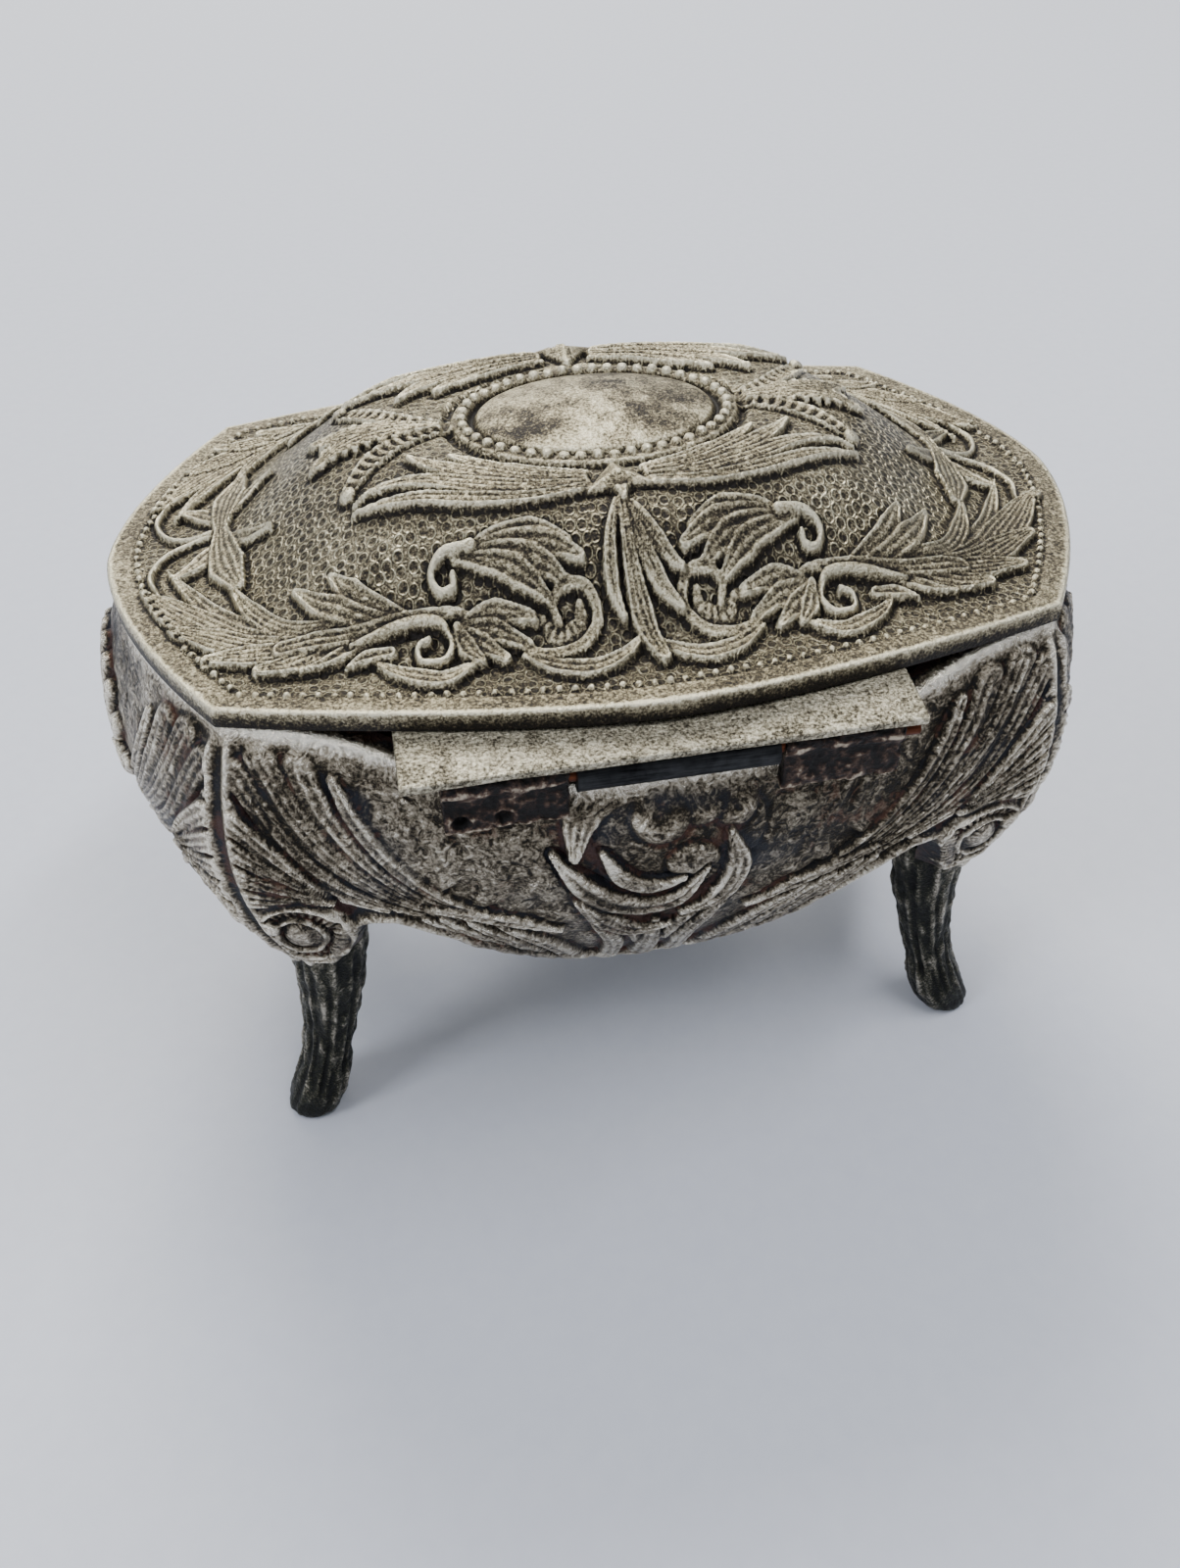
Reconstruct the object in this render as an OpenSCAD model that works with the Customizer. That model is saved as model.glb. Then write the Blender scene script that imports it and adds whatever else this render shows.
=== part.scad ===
// Footed vanity trinket box: a bombe casket cast in four wall panels on
// cabriole legs, with a domed lid on a pin hinge at the back.
// Millimetres, +Z up, floor at z = 0, back (hinge side) towards +Y.

/* [Lid] */
// Half the distance between the lid's corners along the length
lid_corner_x = 45; // [42:0.5:46]
// Half the distance between the lid's corners across the width
lid_corner_y = 32.1; // [30:0.1:33]
// How far the long edges bow out beyond the corners
lid_bow_long = 8; // [6:0.1:9]
// How far the short edges bow out beyond the corners
lid_bow_end = 12.8; // [10:0.1:14]
// Thickness of the lid's rim
lid_rim = 2; // [1.6:0.1:2]
// Width of the flat border around the lid
lid_border = 3.6; // [3:0.1:5]
// Rise of the dome from the border to the medallion's bead ring
dome_rise = 12; // [9:0.5:14]
// Thickness of the domed metal
dome_wall = 1.8; // [1.4:0.1:2.2]
// Half length of the oval medallion, over its bead ring
medallion_x = 16.6; // [14:0.1:18]
// Half width of the oval medallion, over its bead ring
medallion_y = 12.6; // [11:0.1:14]
// Width of the medallion's bead ring
bead_ring = 1.9; // [1.5:0.1:2.4]
// Rise of the plain oval inside the bead ring
medallion_rise = 2.4; // [1:0.1:3]

/* [Body] */
// Height of the lid's border above the table
rim_height = 72; // [68:1:78]
// Thickness of the cast walls
wall = 2.1; // [1.8:0.1:2.4]
// Gap between the lid's rim and the walls' top edge
rim_gap = 0.1; // [0.05:0.05:0.3]
// Depth of the floor plate's top below the lid's border
floor_depth = 26.3; // [24:0.1:26.5]
// Thickness of the floor plate
floor_t = 1.5; // [1:0.1:2]

/* [Legs] */
// How far the foot stands out from the centre along the length
foot_x = 46; // [42:0.5:48]
// How far the foot stands out from the centre across the width
foot_y = 27; // [25:0.5:30]
// Half thickness of the leg at its top
leg_top_r = 4.8; // [4.2:0.1:5.2]
// Half thickness of the leg at its ankle
leg_ankle_r = 3.2; // [2.8:0.1:3.8]
// Half thickness of the rounded foot
foot_r = 3.9; // [3.4:0.1:4.2]

/* [Hinge] */
// Diameter of the hinge pin
pin_d = 1.8; // [1.4:0.1:2]
// Radial clearance of the pin in the lid's knuckle
knuckle_clear = 0.05; // [0.02:0.01:0.1]
// Outer radius of the lid's knuckle
knuckle_r = 2; // [1.95:0.01:2]
// Outer radius of the lugs' barrels
lug_r = 1.65; // [1.5:0.05:1.65]
// Length of each lug
lug_len = 13.4; // [11:0.1:14]
// Gap between a lug and the knuckle
lug_gap = 0.4; // [0.2:0.1:0.6]
// Length of the lid's knuckle
knuckle_len = 20.8; // [18:0.2:22]
// Length of the flat hinge flap
flap_len = 53.5; // [48:0.5:54]
// Thickness of the hinge flap
flap_t = 1; // [0.8:0.05:1]

/* [Lining] */
// Thickness of the velvet wall lining
lining_t = 1; // [0.6:0.1:1.2]
// Thickness of the velvet floor pad
pad_t = 2; // [1.5:0.1:2.5]
// Thickness of the padded panel inside the lid
lid_pad_t = 1.1; // [0.8:0.1:1.2]

/* [Hidden] */
$fn = 48;

metal = "silver";
dark_metal = "dimgray";
copper = "peru";
velvet = "darkred";

// Depths are measured down from the lid's border.
belly_depth = 45.8;          // lower edge of the walls in the middle
corner_depth = 40;           // lower edge of the walls at the corners
arch_depth = 28.4;           // top of the arch beside each leg
long_power = 1.61;           // plan curve of the long sides
end_power = 1.69;            // plan curve of the ends
corner_len = norm([lid_corner_x, lid_corner_y]);
corner_dir = [lid_corner_x, lid_corner_y] / corner_len;

// Hinge axis, and the centring of the whole box on the origin
axis_y = 41.8;
axis_depth = 5.9;
flap_edge_y = 43.9;
flap_root_y = 33;
wall_peak_y = 42.6;
centre_y = (flap_edge_y - wall_peak_y) / 2;

// Bombe profile: swells from top to peak, then sweeps in to the bottom
function swell(depth, top, peak, peak_depth, bottom) =
  depth < peak_depth
  ? top + (peak - top) * sin(90 * depth / peak_depth)
  : peak - (peak - bottom) * pow((depth - peak_depth) / (belly_depth - peak_depth), 2);

function corner_r(depth) = swell(depth, corner_len - 1.2, corner_len + 2.6, 19, 47.6);
function side_y(depth) = swell(depth, 39, wall_peak_y, 18, 31);
function end_x(depth) = swell(depth, 56.2, 61.3, 20, 50);

// Point on the long side (u from -1 to 1) and on the end, at a depth and inset
function side_point(u, depth, inset) =
  let (c = corner_r(depth) * corner_dir - [inset, inset], mid = side_y(depth) - inset)
  [c.x * u, c.y + (mid - c.y) * (1 - pow(abs(u), long_power)), rim_height - depth];
function end_point(u, depth, inset) =
  let (c = corner_r(depth) * corner_dir - [inset, inset], mid = end_x(depth) - inset)
  [c.x + (mid - c.x) * (1 - pow(abs(u), end_power)), -c.y * u, rim_height - depth];

function clamp01(t) = min(1, max(0, t));
function smooth(t) = let (s = clamp01(t)) s * s * (3 - 2 * s);

// Lower edge: a deep belly in the middle, an arch each side, down to the legs
function apron_depth(u) =
  arch_depth + (belly_depth - arch_depth) * pow(cos(90 * min(1, abs(u) / 0.66)), 1.2)
             + (corner_depth - arch_depth) * smooth((abs(u) - 0.7) / 0.22);

// Top edge of the back wall: dips below the hinge
hinge_dip = 6.3;
top_depth = lid_rim + rim_gap;
function back_top(u) = top_depth + hinge_dip * (1 - smooth((abs(u) - 0.3) / 0.6));
function plain_top(u) = top_depth;

wall_cols = 32;
wall_rows = 12;

// Closed shell between an outer and an inner grid of points
function grid_faces(cols, rows, shift, flip) = [
  for (i = [0:cols - 1]) for (j = [0:rows - 1])
    let (
      a = shift + i * (rows + 1) + j,
      b = a + rows + 1,
      quad = [a, b, b + 1, a + 1]
    )
    each flip
      ? [[quad[0], quad[1], quad[2]], [quad[0], quad[2], quad[3]]]
      : [[quad[2], quad[1], quad[0]], [quad[3], quad[2], quad[0]]]
];

module shell(outer, inner, cols, rows) {
  n = (cols + 1) * (rows + 1);
  last = cols * (rows + 1);
  rim_top = [for (i = [0:cols - 1]) let (a = i * (rows + 1), b = a + rows + 1)
    each [[a, b, b + n], [a, b + n, a + n]]];
  rim_low = [for (i = [0:cols - 1]) let (a = i * (rows + 1) + rows, b = a + rows + 1)
    each [[b + n, b, a], [a + n, b + n, a]]];
  side_a = [for (j = [0:rows - 1]) each [[j + n, j + 1, j], [j + 1 + n, j + 1, j + n]]];
  side_b = [for (j = [0:rows - 1]) let (a = last + j)
    each [[a, a + 1, a + n], [a + n, a + 1, a + 1 + n]]];
  polyhedron(
    points = concat(outer, inner),
    faces = concat(
      grid_faces(cols, rows, 0, false),
      grid_faces(cols, rows, n, true),
      rim_top, rim_low, side_a, side_b
    ),
    convexity = 6
  );
}

// Walls along +Y and +X; the opposite ones are mirrored
module long_wall(is_back) {
  function top_at(u) = is_back ? back_top(u) : plain_top(u);
  function grid(inset) = [
    for (i = [0:wall_cols]) for (j = [0:wall_rows])
      let (u = 1 - 2 * i / wall_cols, low = apron_depth(u), high = top_at(u))
      side_point(u, high + (low - high) * j / wall_rows, inset)
  ];
  shell(grid(0), grid(wall), wall_cols, wall_rows);
}

module end_wall_shape() {
  function grid(inset) = [
    for (i = [0:wall_cols]) for (j = [0:wall_rows])
      let (u = 1 - 2 * i / wall_cols, low = apron_depth(u), high = top_depth)
      end_point(-u, high + (low - high) * j / wall_rows, inset)
  ];
  mirror([0, 1, 0]) shell(grid(0), grid(wall), wall_cols, wall_rows);
}

module back_wall() { color(metal) long_wall(true); }
module front_wall() { color(metal) mirror([0, 1, 0]) long_wall(false); }
module right_end_wall() { color(metal) end_wall_shape(); }
module left_end_wall() { color(metal) mirror([1, 0, 0]) end_wall_shape(); }

// Outline of the inside at a depth, counter-clockwise from the +X, +Y corner
plan_steps = 20;
function inside_outline(depth, inset) = [
  for (i = [0:plan_steps - 1]) let (p = side_point(1 - 2 * i / plan_steps, depth, inset)) [p.x, p.y],
  for (i = [0:plan_steps - 1]) let (p = end_point(-1 + 2 * i / plan_steps, depth, inset)) [-p.x, p.y],
  for (i = [0:plan_steps - 1]) let (p = side_point(1 - 2 * i / plan_steps, depth, inset)) [-p.x, -p.y],
  for (i = [0:plan_steps - 1]) let (p = end_point(-1 + 2 * i / plan_steps, depth, inset)) [p.x, -p.y]
];

floor_gap = 0.1;
module floor_plate() {
  low = floor_depth + floor_t;
  color(metal)
    translate([0, 0, rim_height - low])
      linear_extrude(floor_t)
        polygon(inside_outline(low, wall + floor_gap));
}

// Cabriole leg: level rings about a path that kicks out at the foot
leg_depth = 38.5;
leg_rings = 16;
leg_sides = 16;
leg_top = [39.2, 24.6];
function leg_centre(t) = leg_top + ([foot_x, foot_y] - leg_top) * (0.35 * t + 0.65 * pow(t, 2.6));
function leg_radius(t) =
  t < 0.72
  ? leg_top_r + (leg_ankle_r - leg_top_r) * smooth(t / 0.72)
  : leg_ankle_r + (foot_r - leg_ankle_r) * sin(180 * (t - 0.72) / 0.4);
module leg() {
  points = [
    for (k = [0:leg_rings]) for (s = [0:leg_sides - 1])
      let (t = k / leg_rings, r = leg_radius(t), c = leg_centre(t), a = 360 * s / leg_sides)
      [c.x + r * cos(a), c.y + r * sin(a), (rim_height - leg_depth) * (1 - t)]
  ];
  sides = [
    for (k = [0:leg_rings - 1]) for (s = [0:leg_sides - 1])
      let (a = k * leg_sides + s, b = k * leg_sides + (s + 1) % leg_sides)
      each [[a, a + leg_sides, b], [b, a + leg_sides, b + leg_sides]]
  ];
  top = [[for (s = [0:leg_sides - 1]) s]];
  sole = [[for (s = [leg_sides - 1:-1:0]) leg_rings * leg_sides + s]];
  polyhedron(points, concat(sides, top, sole), convexity = 4);
}
module leg_back_right() { color(dark_metal) leg(); }
module leg_back_left() { color(dark_metal) mirror([1, 0, 0]) leg(); }
module leg_front_right() { color(dark_metal) mirror([0, 1, 0]) leg(); }
module leg_front_left() { color(dark_metal) mirror([1, 0, 0]) mirror([0, 1, 0]) leg(); }

// Hinge lug: a barrel on a rounded block that is soldered to the back wall
lug_low_r = 1.5;
lug_low_depth = 10.1;
lug_low_y = axis_y - 1;
lug_root_y = 38.6;
lug_start = knuckle_len / 2 + lug_gap;
axis_z = rim_height - axis_depth;
module along_x(x0, length) {
  translate([x0, 0, 0]) rotate([90, 0, 90]) linear_extrude(length) children();
}
module lug() {
  low_z = rim_height - lug_low_depth;
  difference() {
    along_x(lug_start, lug_len) {
      translate([axis_y, axis_z]) circle(lug_r);
      translate([lug_low_y, low_z]) circle(lug_low_r);
      polygon([
        [lug_low_y + lug_low_r, low_z], [axis_y + lug_r, axis_z],
        [axis_y - 0.85 * lug_r, axis_z + 0.5 * lug_r], [lug_root_y, axis_z - 1.2],
        [lug_root_y, low_z - 0.9], [lug_low_y, low_z - lug_low_r]
      ]);
    }
    translate([lug_start - 1, axis_y, axis_z]) rotate([0, 90, 0])
      cylinder(h = lug_len + 2, d = pin_d + 0.02);
  }
}
module hinge_lug_right() { color(dark_metal) lug(); }
module hinge_lug_left() { color(dark_metal) mirror([1, 0, 0]) lug(); }

// Pin: stands out at the left lug, ends inside the right one
pin_left = -25.6;
pin_right = 23.4;
module hinge_pin() {
  color(copper)
    translate([pin_left, axis_y, axis_z]) rotate([0, 90, 0])
      cylinder(h = pin_right - pin_left, d = pin_d);
}

module hinge_knuckle() {
  color(dark_metal)
    translate([-knuckle_len / 2, axis_y, axis_z]) rotate([0, 90, 0])
      difference() {
        cylinder(h = knuckle_len, r = knuckle_r);
        translate([0, 0, -1]) cylinder(h = knuckle_len + 2, d = pin_d + 2 * knuckle_clear);
      }
}

// Flap: flat plate soldered under the lid's back edge, a little off centre, sloping down to the knuckle
flap_slope = 9.3;
flap_shift = 1;
flap_sunk = 0.5;
module hinge_flap() {
  run = flap_edge_y - flap_root_y;
  color(metal)
    translate([flap_shift - flap_len / 2, flap_root_y, rim_height - lid_rim + flap_sunk])
      rotate([-flap_slope, 0, 0])
        translate([0, 0, -flap_t])
          cube([flap_len, run / cos(flap_slope), flap_t]);
}

// Soft lining: velvet strips inside the walls and a pad on the floor
lining_gap = 0.15;
lining_rows = 6;
lining_cols = 20;
pad_gap = 0.3;
module long_lining(is_back) {
  function grid(inset) = [
    for (i = [0:lining_cols]) for (j = [0:lining_rows])
      let (
        u = 1 - 2 * i / lining_cols,
        high = (is_back ? back_top(u) : plain_top(u)) + 1,
        low = floor_depth - lining_gap
      )
      side_point(u, high + (low - high) * j / lining_rows, inset)
  ];
  shell(grid(wall + lining_gap), grid(wall + lining_gap + lining_t), lining_cols, lining_rows);
}
module end_lining() {
  function grid(inset) = [
    for (i = [0:lining_cols]) for (j = [0:lining_rows])
      let (
        u = 1 - 2 * i / lining_cols,
        high = top_depth + 1,
        low = floor_depth - lining_gap
      )
      end_point(-u, high + (low - high) * j / lining_rows, inset)
  ];
  mirror([0, 1, 0])
    shell(grid(wall + lining_gap), grid(wall + lining_gap + lining_t), lining_cols, lining_rows);
}
module lining_back() { color(velvet) long_lining(true); }
module lining_front() { color(velvet) mirror([0, 1, 0]) long_lining(false); }
module lining_right() { color(velvet) end_lining(); }
module lining_left() { color(velvet) mirror([1, 0, 0]) end_lining(); }

module floor_pad() {
  inset = wall + lining_gap + lining_t + pad_gap;
  color(velvet)
    translate([0, 0, rim_height - floor_depth + lining_gap])
      linear_extrude(pad_t)
        polygon(inside_outline(floor_depth, inset));
}

// Lid: outline, flat border, dome and medallion as one shell
lid_steps = 24;
function lid_long(u) = [lid_corner_x * u, lid_corner_y + lid_bow_long * (1 - pow(abs(u), long_power))];
function lid_end(u) = [lid_corner_x + lid_bow_end * (1 - pow(abs(u), end_power)), lid_corner_y * u];
lid_outline = [
  for (i = [0:lid_steps - 1]) lid_long(1 - 2 * i / lid_steps),
  for (i = [0:lid_steps - 1]) let (p = lid_end(1 - 2 * i / lid_steps)) [-p.x, p.y],
  for (i = [0:lid_steps - 1]) -lid_long(1 - 2 * i / lid_steps),
  for (i = [0:lid_steps - 1]) let (p = lid_end(1 - 2 * i / lid_steps)) [p.x, -p.y]
];
function shrink(p, by) = p * (1 - by / norm(p));
function oval(p, inset) =
  let (a = atan2(p.y / medallion_y, p.x / medallion_x))
  [(medallion_x - inset) * cos(a), (medallion_y - inset) * sin(a)];

// The dome leaves the border level, rises in a hollow curve and rounds over to the medallion
dome_power = 1.47;
dome_rings = 10;
dome_lip = 1;
function dome_ease(t) = t - sin(360 * t) / (2 * PI);
function dome_z(t) = dome_rise * (1 - pow(1 - dome_ease(t), dome_power));
function dome_ring(t, drop, inset) = [
  for (p = lid_outline)
    let (a = shrink(p, inset), q = a + (oval(p, 0) - a) * t)
    [q.x, q.y, dome_z(t) - drop]
];
function oval_ring(inset, z) = [for (p = lid_outline) let (q = oval(p, inset)) [q.x, q.y, z]];
function top_z(s) = dome_rise + medallion_rise * (1 - s * s);
top_inset = bead_ring + 0.4; // edge of the plain oval

lid_shell_rings = concat(
  [[for (p = lid_outline) [p.x, p.y, -lid_rim]]],
  [[for (p = lid_outline) [p.x, p.y, 0]]],
  [for (k = [0:dome_rings]) dome_ring(k / dome_rings, 0, lid_border)],
  [oval_ring(bead_ring / 2, dome_rise + 0.8)],
  [oval_ring(bead_ring, dome_rise - 0.2)],
  [for (s = [0.95, 0.8, 0.6, 0.4, 0.2])
    oval_ring(top_inset + (medallion_y - top_inset) * (1 - s) * 0.98, top_z(s))]
);
lid_hollow_rings = concat(
  [for (k = [dome_rings:-1:0]) dome_ring(k / dome_rings, dome_wall, lid_border + dome_lip)],
  [[for (p = lid_outline) let (q = shrink(p, lid_border + dome_lip)) [q.x, q.y, -lid_rim]]]
);
lid_rings = concat(lid_shell_rings, lid_hollow_rings);

module lid_shell() {
  n = len(lid_outline);
  count = len(lid_rings);
  outer_count = len(lid_shell_rings);
  function wall_quads(k, m) = [
    for (i = [0:n - 1])
      let (a = k * n + i, b = k * n + (i + 1) % n, c = m * n + i, d = m * n + (i + 1) % n)
      each [[b, a, c], [b, c, d]]
  ];
  faces = concat(
    [for (k = [0:outer_count - 2]) each wall_quads(k, k + 1)],
    [for (k = [outer_count:count - 2]) each wall_quads(k, k + 1)],
    wall_quads(count - 1, 0),
    [[for (i = [n - 1:-1:0]) (outer_count - 1) * n + i]],
    [[for (i = [0:n - 1]) outer_count * n + i]]
  );
  color(metal)
    translate([0, 0, rim_height])
      polyhedron(points = [for (r = lid_rings) each r], faces = faces, convexity = 6);
}

// Padded panel that closes the hollow of the lid from below, in front of the flap
lid_pad_inset = lid_border + dome_lip + 3.4;
lid_pad_top = rim_height - lid_rim + 0.05;
module lid_pad() {
  color(velvet)
    translate([0, 0, lid_pad_top - lid_pad_t])
      linear_extrude(lid_pad_t)
        polygon([for (p = lid_outline) shrink(p, lid_pad_inset)]);
}

module centred() {
  translate([0, -centre_y, 0]) children();
}

centred() back_wall();
centred() front_wall();
centred() left_end_wall();
centred() right_end_wall();
centred() floor_plate();
centred() leg_back_left();
centred() leg_back_right();
centred() leg_front_left();
centred() leg_front_right();
centred() hinge_lug_left();
centred() hinge_lug_right();
centred() hinge_pin();
centred() floor_pad();
centred() lining_back();
centred() lining_front();
centred() lining_left();
centred() lining_right();
centred() lid_shell();
centred() hinge_flap();
centred() hinge_knuckle();
centred() lid_pad();
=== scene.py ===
"""Footed vanity trinket box: cast silver-plated walls and lid, cabriole legs, pin hinge, velvet lining.

The cast relief is modelled as height fields, in millimetres, laid stroke over stroke as a carver would
cut a mould, and lifted off the plain surfaces of the box. The plain pieces are modelled with operators.
"""

import math

import bpy
import numpy as np
from mathutils import Matrix, Vector


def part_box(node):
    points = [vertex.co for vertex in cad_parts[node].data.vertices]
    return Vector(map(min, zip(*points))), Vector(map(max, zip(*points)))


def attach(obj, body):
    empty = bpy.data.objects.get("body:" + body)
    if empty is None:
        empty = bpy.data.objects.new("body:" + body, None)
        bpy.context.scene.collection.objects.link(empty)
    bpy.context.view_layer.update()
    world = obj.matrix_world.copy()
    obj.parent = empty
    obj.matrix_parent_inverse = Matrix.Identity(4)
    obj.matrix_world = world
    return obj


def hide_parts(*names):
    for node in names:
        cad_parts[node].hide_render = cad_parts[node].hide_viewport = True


bl_info = {
    "name": "Vanity Trinket Box",
    "version": (1, 0, 0),
    "blender": (4, 5, 0),
    "location": "3D View > Sidebar > Trinket Box",
    "description": "Builds the castings, hinge, lining and finishes of a footed vanity trinket box",
    "category": "Add Mesh",
}

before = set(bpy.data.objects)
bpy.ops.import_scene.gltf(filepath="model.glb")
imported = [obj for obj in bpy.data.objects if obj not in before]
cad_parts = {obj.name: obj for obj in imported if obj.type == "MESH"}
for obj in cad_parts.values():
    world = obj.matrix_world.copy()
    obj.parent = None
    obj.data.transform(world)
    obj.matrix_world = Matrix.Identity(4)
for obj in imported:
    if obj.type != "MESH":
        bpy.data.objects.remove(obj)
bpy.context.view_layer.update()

# ---------------------------------------------------------------------------------------------
# Sizes, in millimetres and degrees. Places come from the imported frame. UNDER_STEP is how much
# coarser the inside of a casting is than its outside.
# ---------------------------------------------------------------------------------------------
MM = 0.001
LID_RIM = 2.0
LID_BORDER = 3.6
LID_LIP = 1.0
DOME_WALL = 1.8
DOME_RISE = 12.0
DOME_POWER = 1.47
LONG_POWER = 1.61
END_POWER = 1.69
LID_CORNER = np.array([45.0, 32.1])
LID_MID_END = 57.8
LID_MID_LONG = 40.1
BEAD_INSET = 3.4
BEAD_PITCH = 1.6
BEAD_RADIUS = 0.52
RING_BEAD_PITCH = 1.85
RING_BEAD_RADIUS = 0.78
MEDALLION = np.array([16.6, 12.6])
BEAD_LINE = np.array([15.5, 11.4])
PLAIN_OVAL = np.array([14.2, 10.2])
MEDALLION_RISE = 2.4
ORNAMENT_SHIFT = 0.8
BELLY_DEPTH = 45.8
CORNER_DEPTH = 40.0
ARCH_DEPTH = 28.4
WALL = 2.1
FLOOR_DEPTH = 26.3
LONG_WALL = 76
END_WALL = 62
WALL_DROP = 33
FOLD_CORNER = 47.0
BODY_DRIFT = 1.5
LEG_DEPTH = 38.5
LEG_TOP = np.array([39.2, 24.6])
LEG_FOOT = np.array([46.0, 27.0])
LEG_TOP_RADIUS = 4.8
ANKLE_RADIUS = 3.2
FOOT_RADIUS = 3.9
ANKLE = 0.72
DIMPLES = ((22.2, 1.6), (17.8, 1.7))
FLAP_THICK = 1.0
FLAP_SLOPE = 9.3
UNDER_STEP = 8

lid_low, lid_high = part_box("lid_shell")
RIM_Z = lid_low.z / MM + LID_RIM
CENTRE_Y = (lid_low.y + lid_high.y) / 2 / MM
CORNER_LEN = float(np.hypot(*LID_CORNER))
CORNER_DIR = LID_CORNER / CORNER_LEN
QUARTERS = {"back_right": (1, 1), "back_left": (-1, 1), "front_right": (1, -1), "front_left": (-1, -1)}


def smooth(t):
    """Eased step from 0 to 1."""
    s = np.clip(t, 0, 1)
    return s * s * (3 - 2 * s)


def swell(depth, top, peak, peak_depth, bottom):
    """Bombe profile: swells from top to peak, then sweeps in to the bottom."""
    rising = top + (peak - top) * np.sin(np.pi / 2 * depth / peak_depth)
    falling = peak - (peak - bottom) * ((depth - peak_depth) / (BELLY_DEPTH - peak_depth)) ** 2
    return np.where(depth < peak_depth, rising, falling)


def body_line(depth, inset):
    """Corner x and y, and the middles of the end and of the long side, at a depth below the lid."""
    corner = swell(depth, CORNER_LEN - 1.2, CORNER_LEN + 2.6, 19, 47.6)
    long_mid = swell(depth, 39, 42.6, 18, 31) - inset
    end_mid = swell(depth, 56.2, 61.3, 20, 50) - inset
    return corner * CORNER_DIR[0] - inset, corner * CORNER_DIR[1] - inset, end_mid, long_mid


def bowed(u, v, corner_x, corner_y, mid_end, mid_long):
    """Maps the square u, v from -1 to 1 onto the bowed four-cornered outline."""
    x = u * (corner_x + (mid_end - corner_x) * (1 - np.abs(v) ** END_POWER))
    y = v * (corner_y + (mid_long - corner_y) * (1 - np.abs(u) ** LONG_POWER))
    return x, y


def wall_points(side, u, depth, inset):
    """Points of one wall; side is back, front, left or right."""
    corner_x, corner_y, mid_end, mid_long = body_line(depth, inset)
    if side in ("back", "front"):
        x = corner_x * u
        y = corner_y + (mid_long - corner_y) * (1 - np.abs(u) ** LONG_POWER)
        y = y if side == "back" else -y
    else:
        y = corner_y * u
        x = corner_x + (mid_end - corner_x) * (1 - np.abs(u) ** END_POWER)
        x = x if side == "right" else -x
    return np.stack([x, y + CENTRE_Y, RIM_Z - depth + 0 * x], -1)


def apron_depth(u):
    """Lower edge of a wall: a deep belly, an arch each side and the leg corners."""
    a = np.abs(u)
    belly = np.cos(np.pi / 2 * np.minimum(1, a / 0.66)) ** 1.2
    corner = smooth((a - 0.7) / 0.22)
    return ARCH_DEPTH + (BELLY_DEPTH - ARCH_DEPTH) * belly + (CORNER_DEPTH - ARCH_DEPTH) * corner


def top_depth(side, u):
    """Upper edge of a wall; the back wall dips below the hinge."""
    plain = LID_RIM + 0.1 + 0 * u
    return plain + 6.3 * (1 - smooth((np.abs(u) - 0.3) / 0.6)) if side == "back" else plain


def lid_edge(count):
    """Closed outline of the lid as a polyline."""
    t = np.linspace(-1, 1, count, endpoint=False)
    one = np.ones_like(t)
    sides = [(t, -one), (one, t), (-t, one), (-one, -t)]
    corners = (*LID_CORNER, LID_MID_END, LID_MID_LONG)
    points = np.vstack([np.stack(bowed(u, v, *corners), -1) for u, v in sides])
    return np.vstack([points, points[:1]])


def lid_radius(angle):
    """Distance from the centre to the lid's outline in a direction."""
    edge = lid_edge(160)[:-1]
    angles = np.arctan2(edge[:, 1], edge[:, 0])
    order = np.argsort(angles)
    return np.interp(angle, angles[order], np.hypot(*edge.T)[order], period=2 * np.pi)


def dome_height(x, y):
    """Height of the plain dome above the border, without the medallion."""
    angle = np.arctan2(y, x)
    outer = lid_radius(angle) - LID_BORDER
    inner = 1 / np.hypot(np.cos(angle) / MEDALLION[0], np.sin(angle) / MEDALLION[1])
    t = np.clip((outer - np.hypot(x, y)) / (outer - inner), 0, 1)
    eased = t - np.sin(2 * np.pi * t) / (2 * np.pi)
    return DOME_RISE * (1 - np.clip(1 - eased, 0, 1) ** DOME_POWER)


# ---------------------------------------------------------------------------------------------
# Relief: a height field in millimetres that motifs are laid on, one over another
# ---------------------------------------------------------------------------------------------
EDGE = 0.5
HALO = 0.75


def curve(points, per_span=7):
    """Smooth curve through the points."""
    p = np.asarray(points, float)
    p = np.vstack([2 * p[0] - p[1], p, 2 * p[-1] - p[-2]])
    t = np.linspace(0, 1, per_span, endpoint=False)[:, None]
    spans = []
    for a, b, c, d in zip(p[:-3], p[1:-2], p[2:-1], p[3:]):
        cubic = (3 * b - a - 3 * c + d) * t**3
        spans.append(0.5 * (2 * b + (c - a) * t + (2 * a - 5 * b + 4 * c - d) * t**2 + cubic))
    return np.vstack(spans + [p[-2:-1]])


def scatter(i, j, seed):
    """Repeatable number from 0 to 1 for a cell of a grid."""
    wave = np.sin(i * 12.9898 + j * 78.233 + seed * 37.719) * 43758.5453
    return wave - np.floor(wave)


def patches(x, y, size, seed):
    """Smooth random field from 0 to 1 over plan positions, with patches of the given size."""
    u, v = x / size, y / size
    i, j = np.floor(u), np.floor(v)
    a, b = smooth(u - i), smooth(v - j)
    low = scatter(i, j, seed) * (1 - a) + scatter(i + 1, j, seed) * a
    high = scatter(i, j + 1, seed) * (1 - a) + scatter(i + 1, j + 1, seed) * a
    return low * (1 - b) + high * b


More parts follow.
